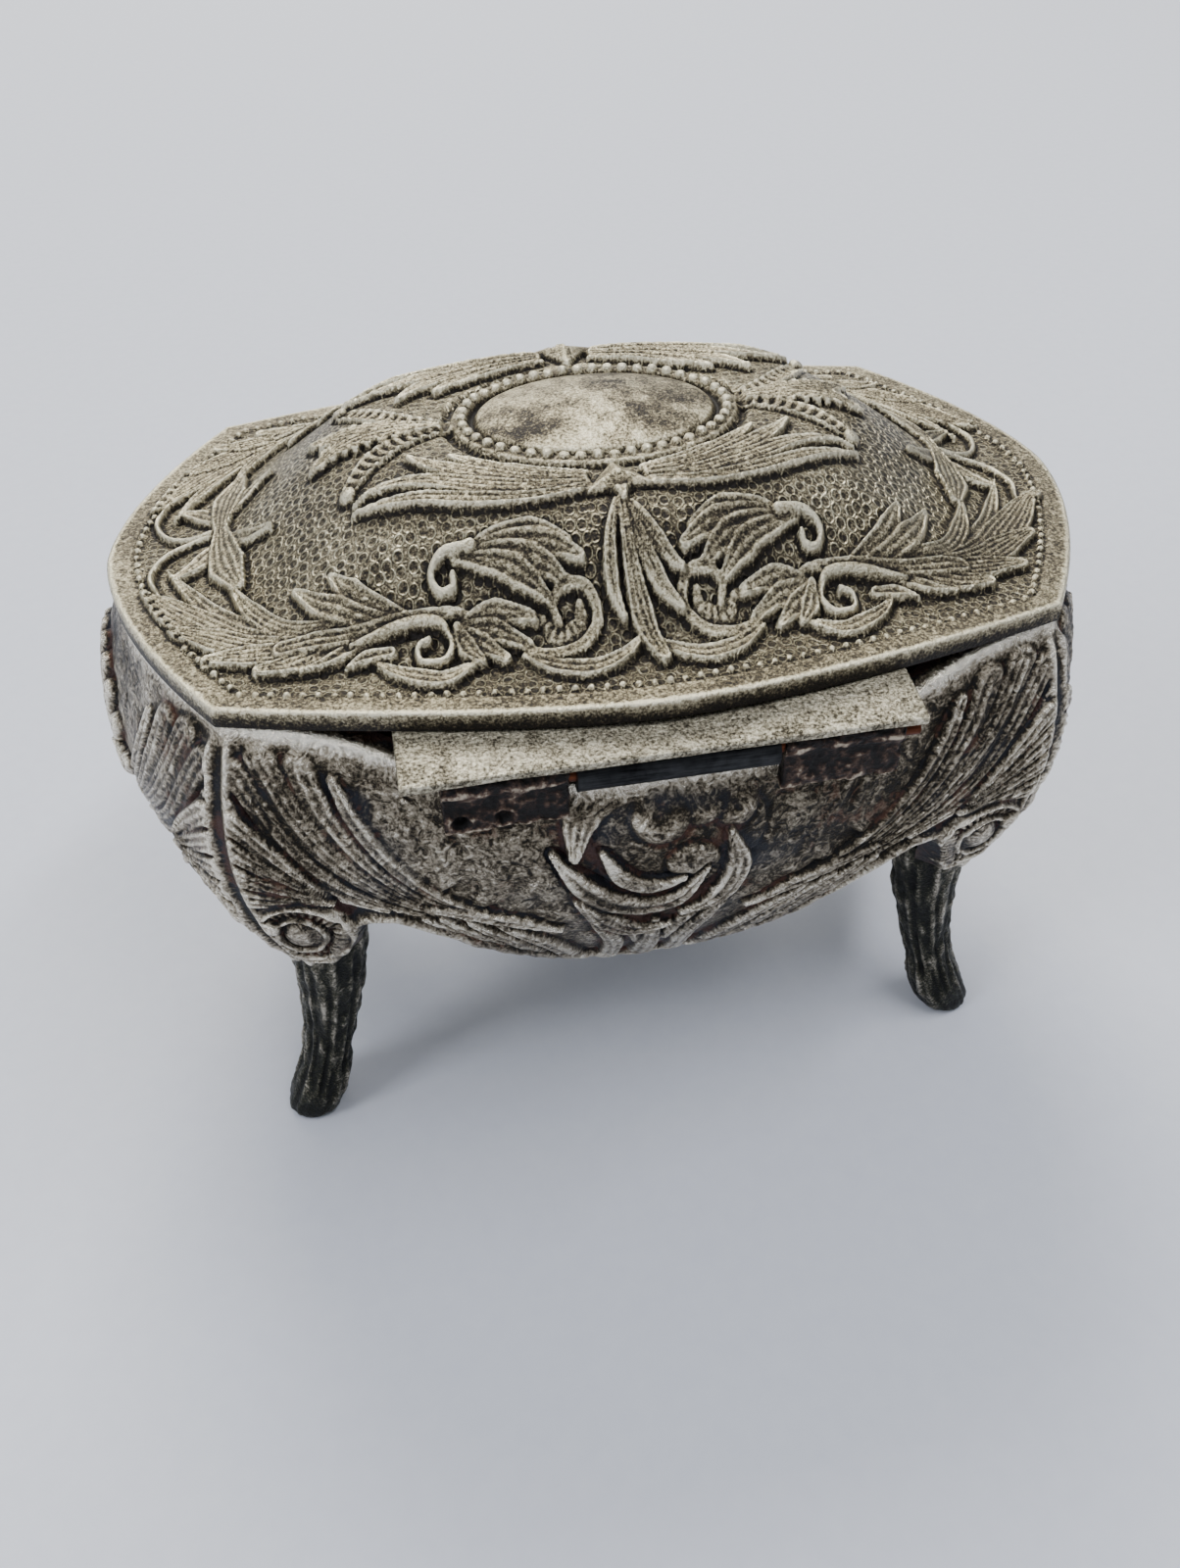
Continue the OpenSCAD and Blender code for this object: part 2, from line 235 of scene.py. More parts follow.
class Relief:
    """Heights over plan positions x, y; x may be folded so that both sides get the same motifs."""

    def __init__(self, x, y):
        self.shape = x.shape
        self.x, self.y = x.ravel(), y.ravel()
        self.h = np.zeros(self.x.size)
        self.cover = np.zeros(self.x.size)

    def beside(self, line, reach):
        """Grid points within reach of a line: their indices, distance, place along it and side."""
        low, high = line.min(0) - reach, line.max(0) + reach
        inside = (self.x > low[0]) & (self.x < high[0]) & (self.y > low[1]) & (self.y < high[1])
        here = np.nonzero(inside)[0]
        a, step = line[:-1], np.diff(line, axis=0)
        size = np.hypot(*step.T)
        start = np.concatenate([[0], np.cumsum(size)])
        dx = self.x[here, None] - a[:, 0]
        dy = self.y[here, None] - a[:, 1]
        t = np.clip((dx * step[:, 0] + dy * step[:, 1]) / size**2, 0, 1)
        gap = np.hypot(dx - t * step[:, 0], dy - t * step[:, 1])
        k = gap.argmin(1)
        n = np.arange(len(here))
        side = np.sign(step[k, 0] * dy[n, k] - step[k, 1] * dx[n, k])
        return here, gap[n, k], start[k] + t[n, k] * size[k], side, start[-1]

    def lay(self, here, inside, height, sink=0.2):
        """Lays a motif over what is there; inside is the distance to its edge, positive within."""
        alpha = smooth(inside / EDGE + 0.5)
        halo = smooth(1 + inside / HALO) * (1 - alpha)
        self.h[here] = (self.h[here] - sink * halo) * (1 - alpha) + height * alpha
        self.cover[here] = np.maximum(self.cover[here], alpha)

    def stroke(self, points, widths, rise=0.5, lift=0.35, veins=0, ribs=0.0, hollow=0.0,
               groove=0.2, notch=0.0, sink=0.2, flat=2, tip=0.0, lip=0.0):
        """Tapered stroke: crowned (flatter as flat grows) or hollow, its far end raised by tip, with a
        raised lip, lengthwise veins, cross ribs or a notched edge."""
        here, gap, along, side, length = self.beside(curve(points), max(widths) / 2 + HALO)
        half = np.interp(along / length, np.linspace(0, 1, len(widths)), widths) / 2
        if notch:
            half = half * (1 - notch * np.abs(np.cos(np.pi * (along - 0.5 * gap) / 1.7)) ** 3)
        q = np.clip(gap / half, 0, 1)
        crown = np.sqrt(1 - q**flat)
        height = lift * (1 + tip * along / length) + rise * ((1 - hollow) * crown + hollow * q**3)
        height += lip * np.exp(-(((half - gap - 0.3) / 0.17) ** 2))
        if veins:
            cut = 0.5 + 0.5 * np.cos(np.pi * (q * side + 1) * (veins + 1))
            height -= groove * crown * cut
        if ribs:
            cut = 0.5 + 0.5 * np.cos(2 * np.pi * along / ribs)
            height -= groove * cut**2 * smooth((1 - q) * 4)
        self.lay(here, half - gap, height, sink)

    def strokes(self, rows, **style):
        """Strokes of one style, laid in order; each row is its veins, widths and points."""
        for veins, widths, points in rows:
            self.stroke(points, widths, veins=veins, **style)

    def ball(self, x, y, rx, ry, rise=0.8, lift=0.3, dimple=0.0):
        """Rounded boss, or one with a dimple in its middle."""
        reach = max(rx, ry) + HALO
        here = np.nonzero((np.abs(self.x - x) < reach) & (np.abs(self.y - y) < reach))[0]
        q = np.hypot((self.x[here] - x) / rx, (self.y[here] - y) / ry)
        crown = np.sqrt(np.clip(1 - q * q, 0, 1))
        height = lift + rise * crown - dimple * smooth(1 - q / 0.6)
        self.lay(here, (1 - q) * min(rx, ry), height)

    def facets(self, corners, peak, height):
        """Pyramid over a triangle: flat facets that meet at a peak."""
        low = np.full(self.x.size, np.inf)
        for (x0, y0), (x1, y1) in zip(corners, corners[1:] + corners[:1]):
            run = (x1 - x0) * (self.y - y0) - (y1 - y0) * (self.x - x0)
            low = np.minimum(low, run / ((x1 - x0) * (peak[1] - y0) - (y1 - y0) * (peak[0] - x0)))
        here = np.nonzero(low > -0.4)[0]
        self.lay(here, low[here] * 2.2, 0.5 + height * np.clip(low[here], 0, 1) * 0.7)

    def beads(self, line, pitch, radius, lift=0.1):
        """Row of round beads along a closed line."""
        here, gap, along, _, length = self.beside(line, radius + 0.1)
        pitch = length / round(length / pitch)
        off = np.hypot(along % pitch - pitch / 2, gap) / radius
        worn = 0.6 + 0.4 * scatter(np.floor(along / pitch), 0, 4)
        dome = lift + worn * radius * np.sqrt(np.clip(1 - off * off, 0, 1))
        alpha = smooth((1 - off) * radius / 0.25)
        self.h[here] = self.h[here] * (1 - alpha) + dome * alpha
        self.cover[here] = np.maximum(self.cover[here], alpha)

    def grain(self, size, depth, seed):
        """Uneven cast surface: noise of a given size and depth."""
        self.h += depth * (patches(self.x, self.y, size, seed) - 0.5)

    def heights(self):
        """Heights in the shape of the grid."""
        return self.h.reshape(self.shape)


def soften(field, radius):
    """Box average of a grid over a square window."""
    out = field
    for axis in (0, 1):
        pad = [(0, 0), (0, 0)]
        pad[axis] = (radius + 1, radius)
        total = np.cumsum(np.pad(out, pad, mode="edge"), axis)
        n = out.shape[axis]
        window = 2 * radius + 1
        upper = np.take(total, range(window, window + n), axis)
        lower = np.take(total, range(0, n), axis)
        out = (upper - lower) / window
    return out


def wear_of(h, gain=1.1, broad_gain=0.15):
    """How exposed each point is to polishing: 0 in the recesses, 0.5 on the flat, 1 on the crests."""
    fine = h - soften(h, 3)
    broad = h - soften(h, 9)
    return np.clip(0.5 + gain * fine + broad_gain * broad, 0, 1)


# ---------------------------------------------------------------------------------------------
# Motifs of the lid, in plan millimetres; x and y are folded onto one quarter
# ---------------------------------------------------------------------------------------------
def lid_scrollwork(r):
    """Acanthus, shells, volutes and wings that fill each quarter of the lid."""
    leaf = dict(rise=0.3, lift=0.42, groove=0.17, flat=5, tip=0.5, lip=0.12, sink=0.12)
    r.strokes([
        # long leaves on the inner side of the corner acanthus
        (2, (1.2, 2, 2.4, 2, 0.5), [(31, 24.8), (38, 21.5), (43.5, 16.5), (47, 11), (49.5, 6)]),
        (3, (1.2, 2.2, 2.4, 0.6), [(29, 25), (36, 22.3), (40, 17.5), (42.6, 11.5)]),
        # corner acanthus: a long tip leaf and three lobes, each over the one beyond it
        (6, (2, 3.8, 5, 4, 1.6), [(35, 24.6), (42, 21), (47.5, 15.5), (51.5, 10.8), (53.4, 9.6)]),
        (5, (2, 3.2, 4, 1.8), [(34, 25), (40.5, 22.8), (45, 20), (48.4, 18)]),
        (4, (1.6, 3, 3.6, 1.8), [(33, 25.3), (38, 24.8), (42, 24.2), (44.6, 24.2)]),
        (3, (1.4, 2.4, 3, 1.7), [(29, 25.4), (33, 26), (36.5, 27), (39.4, 27.2)]),
        # small upper leaves
        (2, (0.9, 2, 2.6, 0.9), [(23, 25.4), (26, 24), (29.2, 21.8), (31.2, 18.8)]),
        (2, (0.9, 2, 2.8, 0.9), [(22.5, 25.6), (27, 24.7), (31.8, 22), (35.2, 17.8)]),
        # stem of the acanthus, its lower lobe and the leaves that it grows from
        (1, (0.9, 1.5, 1.7, 0.6), [(24, 25.8), (29, 26.3), (33, 27.8), (35.2, 28.3)]),
        (2, (0.9, 1.2, 1.5, 2, 2.4), [(16.8, 27), (19, 25.8), (24, 25.2), (30, 25.4), (37, 24.8)]),
        (2, (0.6, 1.8, 2.6, 2.2, 0.8), [(27.8, 28.4), (26, 30.2), (23.5, 31.6), (21, 32.4), (17.8, 31)]),
        (1, (1.4, 1.8, 0.5), [(26, 27.9), (28.6, 28), (30.6, 28.9)]),
    ], **leaf)
    volute = [(30, 26.5), (25, 25.7), (21, 26.2), (19.6, 28.2),
              (20.8, 30), (23, 29.7), (23.2, 28.1), (22, 27.6)]
    r.stroke(volute, (0.5, 0.9, 1.1, 1.1, 1, 0.9, 0.8, 0.8), rise=0.55, lift=0.5)
    # serrated fan leaf beside the shell
    fan = [((15.5, 26.6), (11, 27.8)), ((15.6, 28), (12, 29.9)),
           ((16.8, 29), (14.5, 31)), ((18.2, 29.2), (17, 30.8))]
    r.strokes([(2, (1, 2.4, 1.2), [(19, 27), bend, tip]) for bend, tip in fan], **leaf)
    # shell with its curled stem
    shell = [((14, 21.2), (9.8, 21.6), (6.6, 23)), ((13.6, 21.8), (9, 22.7), (5.5, 24.3)),
             ((13.2, 22.6), (9.6, 24.1), (7.2, 25.9)), ((13.5, 23.5), (11.2, 25), (9.4, 26.6))]
    r.strokes([(2, (0.8, 2, 2.8, 1.2), [(18.4, 21.8), *path]) for path in shell], **leaf)
    curl = [(16.5, 21.4), (19.4, 21.3), (20.9, 22.6), (20.3, 24.1), (18.9, 24.1), (18.7, 23.2)]
    r.stroke(curl, (1.2, 1.1, 1, 0.9, 0.9, 0.9), rise=0.5, lift=0.6)
    # ribbed C-scroll and the leaf under it
    under_leaf = [(12.6, 30.8), (9.5, 32.8), (6, 33.7), (2.6, 32.6), (0.4, 31)]
    r.stroke(under_leaf, (0.8, 2.2, 2.6, 1.8, 0.8), veins=2, **leaf)
    ribbed = [(10.4, 27.6), (8.6, 29.4), (6.4, 28.8), (6.2, 27.2)]
    r.stroke(ribbed, (0.8, 2, 1.8, 0.8), rise=0.25, lift=0.15, ribs=0.75)
    c_scroll = [(13.6, 29.2), (10.4, 31), (6.8, 30.8), (4.6, 28.7),
                (5.2, 26.4), (7.4, 25.8), (9, 26.9), (8.6, 28.4)]
    r.stroke(c_scroll, (0.5, 1, 1.2, 1.2, 1.1, 1, 0.9, 0.8), rise=0.35, lift=0.5, hollow=0.8, flat=3)
    # wings: long plumes that sweep from the bow along the medallion
    r.strokes([
        (2, (0.8, 1.6, 2, 1.1), [(3, 14.8), (7.5, 13.9), (11.2, 12.2), (13.8, 10.4)]),
        (3, (1, 2, 2.6, 0.9), [(3.4, 15.4), (8.5, 14.4), (13, 11.9), (16.9, 8.5)]),
        (3, (1, 2.2, 2.8, 2.6, 0.9), [(3.4, 16), (9, 15.4), (14.5, 12.9), (19, 10), (21.4, 7.6)]),
        (3, (1, 2.2, 2.8, 2.8, 1.6, 0.5),
         [(3.2, 16.8), (9, 16.6), (15, 14.8), (21, 12.3), (25.5, 11.7), (27.8, 12.4)]),
        (2, (1.2, 1.6, 2, 1.9, 0.5), [(3.2, 17.6), (9, 18), (15, 17), (21, 15.2), (28, 13.4)]),
    ], **leaf)
    # pea-pod horn and the leaf at the end of the medallion
    r.stroke([(17, 0), (23, 0), (28, 0.8), (32, 3)], (3, 5, 5.4, 1.4), veins=5, notch=0.25, **leaf)
    horn = [(17.6, 1), (21.5, 2.6), (25, 5.4), (28, 9)]
    r.stroke(horn, (1.2, 2.4, 2.8, 1.8), rise=0.6, lift=0.25, hollow=1, ribs=1.3, groove=0.4)
    r.ball(28.4, 10.2, 1, 1, rise=0.8)
    # iris bud at the lid's end, with its side petals and curling stem
    stem = [(43.6, 1), (46.6, 0.4), (50, 2), (51.6, 6), (50.4, 10.4)]
    r.stroke(stem, (0.6, 0.8, 0.8, 0.8, 0.5), rise=0.4, lift=0.4)
    r.strokes([
        (2, (1.4, 3, 1.2), [(43.4, 2), (46, 5.4), (48.6, 7.4)]),
        (1, (1.2, 2.4, 0.8), [(43.2, 2), (40.4, 5), (37.4, 6.4)]),
        (4, (2, 3.4, 4.6, 2), [(43.6, 0), (43.4, 4), (42.8, 8), (41.6, 12)]),
    ], **leaf)


def lid_pendant(r):
    """Pendant leaf and the faceted bow above it; not folded along x."""
    r.strokes([
        (3, (0.8, 1.5, 1.9, 1), [(0.8, 19.6), (-0.9, 22.4), (-2.6, 24.9), (-4.1, 26.1)]),
        (3, (0.8, 1.4, 1.8, 1), [(1.6, 19.8), (3, 23.5), (3.4, 26.8), (2.7, 29.2)]),
        (3, (0.8, 1.6, 2.1, 1), [(0.9, 20), (0, 23.5), (-1.6, 27), (-3.5, 29)]),
        (3, (0.9, 1.7, 2.8, 1.6), [(1.2, 20), (1.2, 25), (0.6, 30), (-0.6, 33.6)]),
    ], rise=0.35, lift=0.5, groove=0.2, flat=4, tip=0.5, lip=0.1, sink=0.12)
    r.stroke([(0.8, 17), (0.8, 18.6), (0.8, 20)], (2.4, 2, 0.8), rise=0.4, lift=0.8, veins=1)
    r.facets([(-2.9, 18.2), (4.5, 18.5), (0.8, 13.2)], (0.8, 16.5), 1.5)


def lid_relief(x, y, depth):
    """Whole relief of the lid over plan positions: its height above the dome or border, how open the
    ground is, and what polish or stain adds to the wear."""
    r = Relief(np.abs(x - ORNAMENT_SHIFT), np.abs(y))
    lid_scrollwork(r)
    r.x, r.y = x.ravel(), np.abs(y).ravel()
    lid_pendant(r)
    edge = lid_edge(60)
    r.y = y.ravel()
    outer = np.nonzero(np.hypot(r.x / LID_MID_END, r.y / LID_MID_LONG) > 0.78)[0]
    ring = Relief(r.x[outer], r.y[outer])
    near, gap, _, _, _ = ring.beside(edge, 6.0)
    inset = np.full(r.x.size, 6.0)
    inset[outer[near]] = gap
    # flat border outside the bead row, then a soft inner slope
    border = smooth((3.0 - inset) / 0.5)
    r.h = r.h * (1 - border) + 0.12 * border
    r.cover = np.maximum(r.cover, border)
    bead_row = edge * (1 - BEAD_INSET / np.hypot(*edge.T))[:, None]
    r.beads(bead_row, BEAD_PITCH, BEAD_RADIUS, lift=0.05)
    # medallion: dark recess, bead ring and plain raised oval
    k = np.hypot(r.x / MEDALLION[0], r.y / MEDALLION[1])
    turn = np.linspace(0, 2 * np.pi, 121)
    ring_line = np.stack([BEAD_LINE[0] * np.cos(turn), BEAD_LINE[1] * np.sin(turn)], -1)
    collar = smooth((1.02 - k) / 0.03)
    r.cover = np.maximum(r.cover, collar)
    recess = np.exp(-(((k - 1.045) / 0.035) ** 2))
    r.h = r.h * (1 - collar) - 0.7 * recess
    s = np.hypot(r.x / PLAIN_OVAL[0], r.y / PLAIN_OVAL[1])
    r.h += collar * (0.35 * smooth((k - 0.85) / 0.05)) - 0.45 * np.exp(-(((s - 1.02) / 0.03) ** 2))
    r.beads(ring_line, RING_BEAD_PITCH, RING_BEAD_RADIUS, lift=0.35)
    oval = np.clip(1 - s * s, 0, 1)
    r.h += np.where(s < 1, (MEDALLION_RISE - 0.3) * oval + 0.3 * smooth(oval / 0.1), 0) / depth
    r.h -= 0.4 * (1 - np.sqrt(1 - np.clip(1 - inset / 0.4, 0, 1) ** 2))
    r.grain(0.55, 0.05, 3)
    stains = sum(weight * np.interp(patches(r.x, r.y, size, 31), (0.25, 0.75), (-1, 1))
                 for size, weight in ((5.0, 0.1), (1.7, 0.09)))
    polish = (0.04 + stains) * smooth((1 - s) / 0.06) + 0.3 * smooth((0.9 - inset) / 0.5)
    return r.heights() * depth, 1 - r.cover.reshape(x.shape), polish.reshape(x.shape)


# ---------------------------------------------------------------------------------------------
# Motifs of the walls, in millimetres: sideways from the middle, with the corner at FOLD_CORNER,
# and down from the lid's rim
# ---------------------------------------------------------------------------------------------
def wall_corner(r):
    """Flutes, corner fan and rosette beside each leg."""
    band = dict(rise=0.6, lift=0.15, groove=0.24, flat=2.5, sink=0.12)
    feather = dict(rise=0.16, lift=0.05, groove=0.08, sink=0.03)
    r.strokes([
        (2, (0.6, 3.4, 3, 0.8), [(26, 24), (23, 19.5), (24, 14.5), (26.5, 10)]),
        (2, (0.6, 3.4, 3, 0.8), [(21, 26.4), (18, 22.6), (18.6, 18), (21, 14)]),
    ], **feather)
    r.strokes([
        (1, (0.6, 1.3, 1.8, 2.2, 2.4, 1.4),
         [(13, 28.8), (19, 26.8), (24.8, 22.8), (29.6, 17), (32.4, 11.6), (33.6, 7.6)]),
        (2, (0.8, 1.5, 2, 2.6, 3.6, 3.6),
         [(11, 30.4), (17, 28.8), (24.4, 25), (30.6, 19.6), (35, 12.6), (37, 6.4)]),
        (3, (0.6, 1.9, 2.8, 3.8, 3.8), [(18, 29), (26.6, 24.9), (33.4, 19.4), (38.2, 12.6), (40.8, 5.6)]),
        (2, (0.8, 2, 3.4, 3.2), [(26, 26.6), (33.4, 22.8), (39.4, 16.6), (43.8, 7)]),
        (1, (1, 1.8, 2.2, 1), [(30, 25.6), (36.4, 22.6), (41.8, 17.4), (45, 10.4)]),
    ], **band)
    fan = [((40, 19), (45.2, 12.8)), ((41, 20.4), (45.8, 16.4)),
           ((41.6, 22.2), (46, 20.2)), ((41.6, 24.2), (45.8, 23.8))]
    r.strokes([(2, (0.8, 2.4, 3), [(36, 24.2), bend, tip]) for bend, tip in fan],
              rise=0.6, lift=0.5, groove=0.3, flat=3, tip=0.6)
    # rosette: gadrooned ring round an oval cabochon, with a small ball beside it
    turn = np.linspace(0, 2 * np.pi, 17)
    outer = [(40 + 5.5 * math.cos(t), 31 + 5.6 * math.sin(t)) for t in turn]
    inner = [(40.2 + 4 * math.cos(t), 31 + 4.3 * math.sin(t)) for t in turn]
    middle = [(40.6 + 2.9 * math.cos(t), 31 + 3.5 * math.sin(t)) for t in turn]
    r.ball(40, 31, 6.6, 6.8, rise=0.6, lift=0.5)
    r.stroke(outer, (0.9, 0.9), rise=0.5, lift=0.9, sink=0.2)
    r.stroke(inner, (2.2, 2.2), rise=0.35, lift=0.6, ribs=0.85, groove=0.4, sink=0.2, flat=4)
    r.stroke(middle, (0.8, 0.8), rise=0.45, lift=0.8, sink=0.3)
    r.ball(40.8, 31, 1.9, 2.6, rise=0.8, lift=0.6)
    r.ball(44, 29.4, 1.3, 1.3, rise=0.6, lift=1.0)


def wall_apron(r):
    """Leaf along the arch, flutes that fall to the belly and the palmette in its middle."""
    flute = dict(rise=0.75, lift=0.25, groove=0.2, sink=0.15)
    r.strokes([
        (1, (0.9, 2.2, 2), [(26, 27), (21.5, 31.5), (17, 38.4)]),
        (1, (0.9, 2.4, 2.6), [(24, 27), (18.5, 33), (14, 41)]),
        (1, (0.9, 2.6, 3), [(21, 28), (15, 34.5), (10.5, 43.4)]),
        (1, (0.9, 2.4, 3), [(18, 28.5), (11.5, 35.5), (7, 45)]),
    ], **flute)
    r.stroke([(25.5, 25), (20.5, 26.6), (15.5, 28.4), (10.6, 30.6)], (1, 2.2, 2.4, 0.8), rise=0.5, lift=0.45,
             veins=1, notch=0.16)
    r.strokes([
        (2, (0.8, 2.2, 2.8, 2.6), [(9, 25), (6.4, 30), (4.2, 36), (4, 44)]),
        (2, (0.8, 2, 1.4), [(6, 27), (3, 31), (1.4, 36)]),
        (2, (1, 3, 3.4), [(0, 30), (0, 36), (0, 45)]),
    ], **flute)


def wall_cartouche(r):
    """C-scroll and lobes in the middle of a long wall; leans to one side."""
    band = dict(rise=0.6, lift=0.6, groove=0.25, flat=3)
    r.ball(-1, 16, 9.5, 8, rise=0.5, lift=0.1)
    r.ball(-6.9, 12.8, 2.5, 3, rise=0.8, lift=0.3, dimple=0.4)
    r.ball(-3, 12, 2.8, 2.6, rise=0.9, lift=0.4, dimple=0.3)
    r.ball(1.2, 13, 3.2, 3.4, rise=1.0, lift=0.4, dimple=0.6)
    r.strokes([
        (3, (1.4, 4, 3.6, 1.2), [(10.4, 17.4), (9.2, 12), (5, 9.4), (0.6, 9.4)]),
        (2, (1, 3.2, 3.2, 0.8), [(9.4, 24.6), (6.5, 29), (3.4, 31.5), (-0.6, 31)]),
        (2, (1, 3.2, 3.4, 0.8), [(-6.4, 16), (-7.6, 21.5), (-5.8, 26.4), (-1.6, 28.8)]),
    ], **band)
    r.ball(-2.4, 19.4, 3, 2.6, rise=0.7, lift=0.5)
    r.stroke([(7.4, 17), (5.2, 20.8), (2, 22.4), (-1.4, 21.6)], (0.9, 2.4, 2.4, 0.8), sink=0.5, **band)
    crescent = [(12.6, 17), (9, 22.6), (4.2, 26), (-0.8, 25.4), (-4, 20.6)]
    r.stroke(crescent, (0.9, 3, 3.6, 2.8, 0.7), veins=1, sink=0.6, **band)


def wall_end_shell(r):
    """Upright shell in the middle of an end wall."""
    for lean in (5, 4, 3, 2, 1, 0):
        tip = (2.4 * lean, 9 + 0.45 * lean * lean)
        bend = (1.7 * lean, 16 + 0.3 * lean * lean)
        r.stroke([(0, 25), bend, tip], (1, 2.4, 2.6), rise=0.9, lift=0.45, veins=1, groove=0.3)
    scroll = [(0, 23.5), (4, 25.5), (8.4, 24), (10, 20.8), (8, 19.6)]
    r.stroke(scroll, (1, 1.7, 1.6, 1.3, 0.9), rise=0.9, lift=0.6)
    r.ball(0, 26.5, 2.4, 2, rise=1.0, lift=0.6)


def wall_relief(side, u, depth, lateral, amount):
    """Relief of one wall: its height off the plain surface, and a painted highlight along its upper edge."""
    long_side = side in ("back", "front")
    half = np.abs(lateral[-1, :]).max()
    drift = BODY_DRIFT * (1 - u * u) if long_side else 0
    folded = np.abs(lateral - drift) + (FOLD_CORNER - half)
    r = Relief(folded, depth)
    r.grain(3.2, 0.5, 5)
    r.grain(1.1, 0.16, 6)
    wall_corner(r)
    wall_apron(r)
    if long_side:
        r.x = (lateral - 0.4).ravel()
        wall_cartouche(r)
    else:
        r.x = np.abs(lateral).ravel()
        wall_end_shell(r)
    r.grain(0.7, 0.12, 7)
    h = r.heights()
    # rolled moulding along the lower edge, with a quirk inside it
    low = apron_depth(u)
    slope = np.gradient(low, axis=0) / np.maximum(np.abs(np.gradient(lateral, axis=0)), 1e-6)
    rise = (low - depth) / np.sqrt(1 + slope**2)
    roll = np.exp(-(((rise - 0.8) / 0.6) ** 2))
    quirk = np.exp(-(((rise - 2.0) / 0.4) ** 2))
    h = h * (1 - 0.8 * roll) + 0.8 * roll - 0.35 * quirk
    # rounded upper ledge, and the soldered corner: a ridge that dies into the seam
    below = depth - top_depth(side, u)
    h = h * smooth((below - 0.6) / (3.0 if side == "back" else 1.8))
    seam = (1 - np.abs(u)) * half
    h = h - 0.7 * smooth(seam / 5) * (1 - np.sqrt(1 - np.clip(1 - below / 0.7, 0, 1) ** 2))
    h = h - 0.4 * (1 - np.sqrt(1 - np.clip(1 - rise / 0.4, 0, 1) ** 2))
    ridge = 0.9 * np.exp(-(((seam - 0.9) / 0.55) ** 2)) * smooth((below - 0.8) / 2.5)
    h = h * smooth((seam - 0.5) / 1.5) + ridge
    h = h * smooth(seam / 0.5)
    if side == "back":
        # kept low where the hinge lugs are soldered on and where the flap swings
        lugs = smooth((28 - np.abs(lateral)) / 3) * smooth((14 - depth) / 3)
        h = h * (1 - 0.75 * lugs)
    # painted highlight: the upper edge is made paler, over a wider band on the back wall
    return h * amount, 0.3 * smooth(1 - below / (3.4 if side == "back" else 2.2))


# ---------------------------------------------------------------------------------------------
# Mesh building
# ---------------------------------------------------------------------------------------------
def clear_selection():
    """Leaves edit mode and deselects everything."""
    if bpy.context.object and bpy.context.object.mode != "OBJECT":
        bpy.ops.object.mode_set(mode="OBJECT")
    bpy.ops.object.select_all(action="DESELECT")


def loop_of(ids):
    """Vertex indices round the border of a grid, without repeating the first."""
    return np.concatenate([ids[:-1, 0], ids[-1, :-1], ids[:0:-1, -1], ids[0, :0:-1]])


def shell_piece(name, top, under, step, wear_and_painted_light=None, ground=None, sharp=50, quarter=False):
    """Closed shell between a fine outer grid and an inner grid that is coarser by step; the outer
    points carry how worn they are, with any painted light added, and whether they are open ground.
    The rim's side faces get a painted shade; a quarter has its rim on the last row and column only."""
    ids = np.arange(top.shape[0] * top.shape[1]).reshape(top.shape[:2])
    low = ids.size + np.arange(under.shape[0] * under.shape[1]).reshape(under.shape[:2])
    upper = np.stack([ids[:-1, :-1], ids[1:, :-1], ids[1:, 1:], ids[:-1, 1:]], -1).reshape(-1, 4)
    lower = np.stack([low[:-1, :-1], low[:-1, 1:], low[1:, 1:], low[1:, :-1]], -1).reshape(-1, 4)
    faces = upper.tolist() + lower.tolist()
    fine, coarse = loop_of(ids).tolist(), loop_of(low).tolist()
    fine.append(fine[0])
    coarse.append(coarse[0])
    for k in range(len(coarse) - 1):
        run = fine[k * step:(k + 1) * step + 1]
        faces.append(run[::-1] + [coarse[k], coarse[k + 1]])
    facing = np.cross(top[1:, :-1] - top[:-1, :-1], top[:-1, 1:] - top[:-1, :-1])[::step, ::step]
    outward = (top[::step, ::step] - under)[:facing.shape[0], :facing.shape[1]]
    if (facing[:outward.shape[0], :outward.shape[1]] * outward).sum() < 0:
        faces = [face[::-1] for face in faces]
    mesh = bpy.data.meshes.new(name)
    points = np.concatenate([top.reshape(-1, 3), under.reshape(-1, 3)]) * MM
    mesh.from_pydata(points.tolist(), [], faces)
    # on the wear layer the rim's side faces get a painted shade (0.12) and the inner surface 0.42; the ground
    # layer gets no punching on either
    for key, field, inside, edge in (("wear_and_painted_light", wear_and_painted_light, 0.42, 0.12), ("ground", ground, 0.0, 0.0)):
        if field is not None:
            values = np.full(len(points), inside)
            values[:ids.size] = field.ravel()
            values[np.concatenate([low[-1, :], low[:, -1]]) if quarter else loop_of(low)] = edge
            mesh.attributes.new(key, "FLOAT", "POINT").data.foreach_set("value", values.astype(np.float32))
    piece = bpy.data.objects.new(name, mesh)
    bpy.context.collection.objects.link(piece)
    clear_selection()
    piece.select_set(True)
    bpy.context.view_layer.objects.active = piece
    bpy.ops.object.shade_smooth_by_angle(angle=math.radians(sharp), keep_sharp_edges=False)
    clear_selection()
    return piece


def start_piece(name):
    """Names the primitive that was just added."""
    piece = bpy.context.object
    piece.name = name
    piece.data.name = name
    return piece


def settle(piece, angle=40):
    """Applies the piece's place to its mesh, so that its object sits at the origin, and shades it."""
    clear_selection()
    piece.select_set(True)
    bpy.context.view_layer.objects.active = piece
    bpy.ops.object.transform_apply(location=True, rotation=True, scale=True)
    bpy.ops.object.shade_smooth_by_angle(angle=math.radians(angle), keep_sharp_edges=False)
    clear_selection()


def vertices_of(piece, key="co"):
    """Places of a piece's vertices, or their normals."""
    values = np.zeros(len(piece.data.vertices) * 3)
    piece.data.vertices.foreach_get(key, values)
    return values.reshape(-1, 3)


def move_vertices(piece, co):
    """Puts a piece's vertices at new places."""
    piece.data.vertices.foreach_set("co", co.ravel())
    piece.data.update()


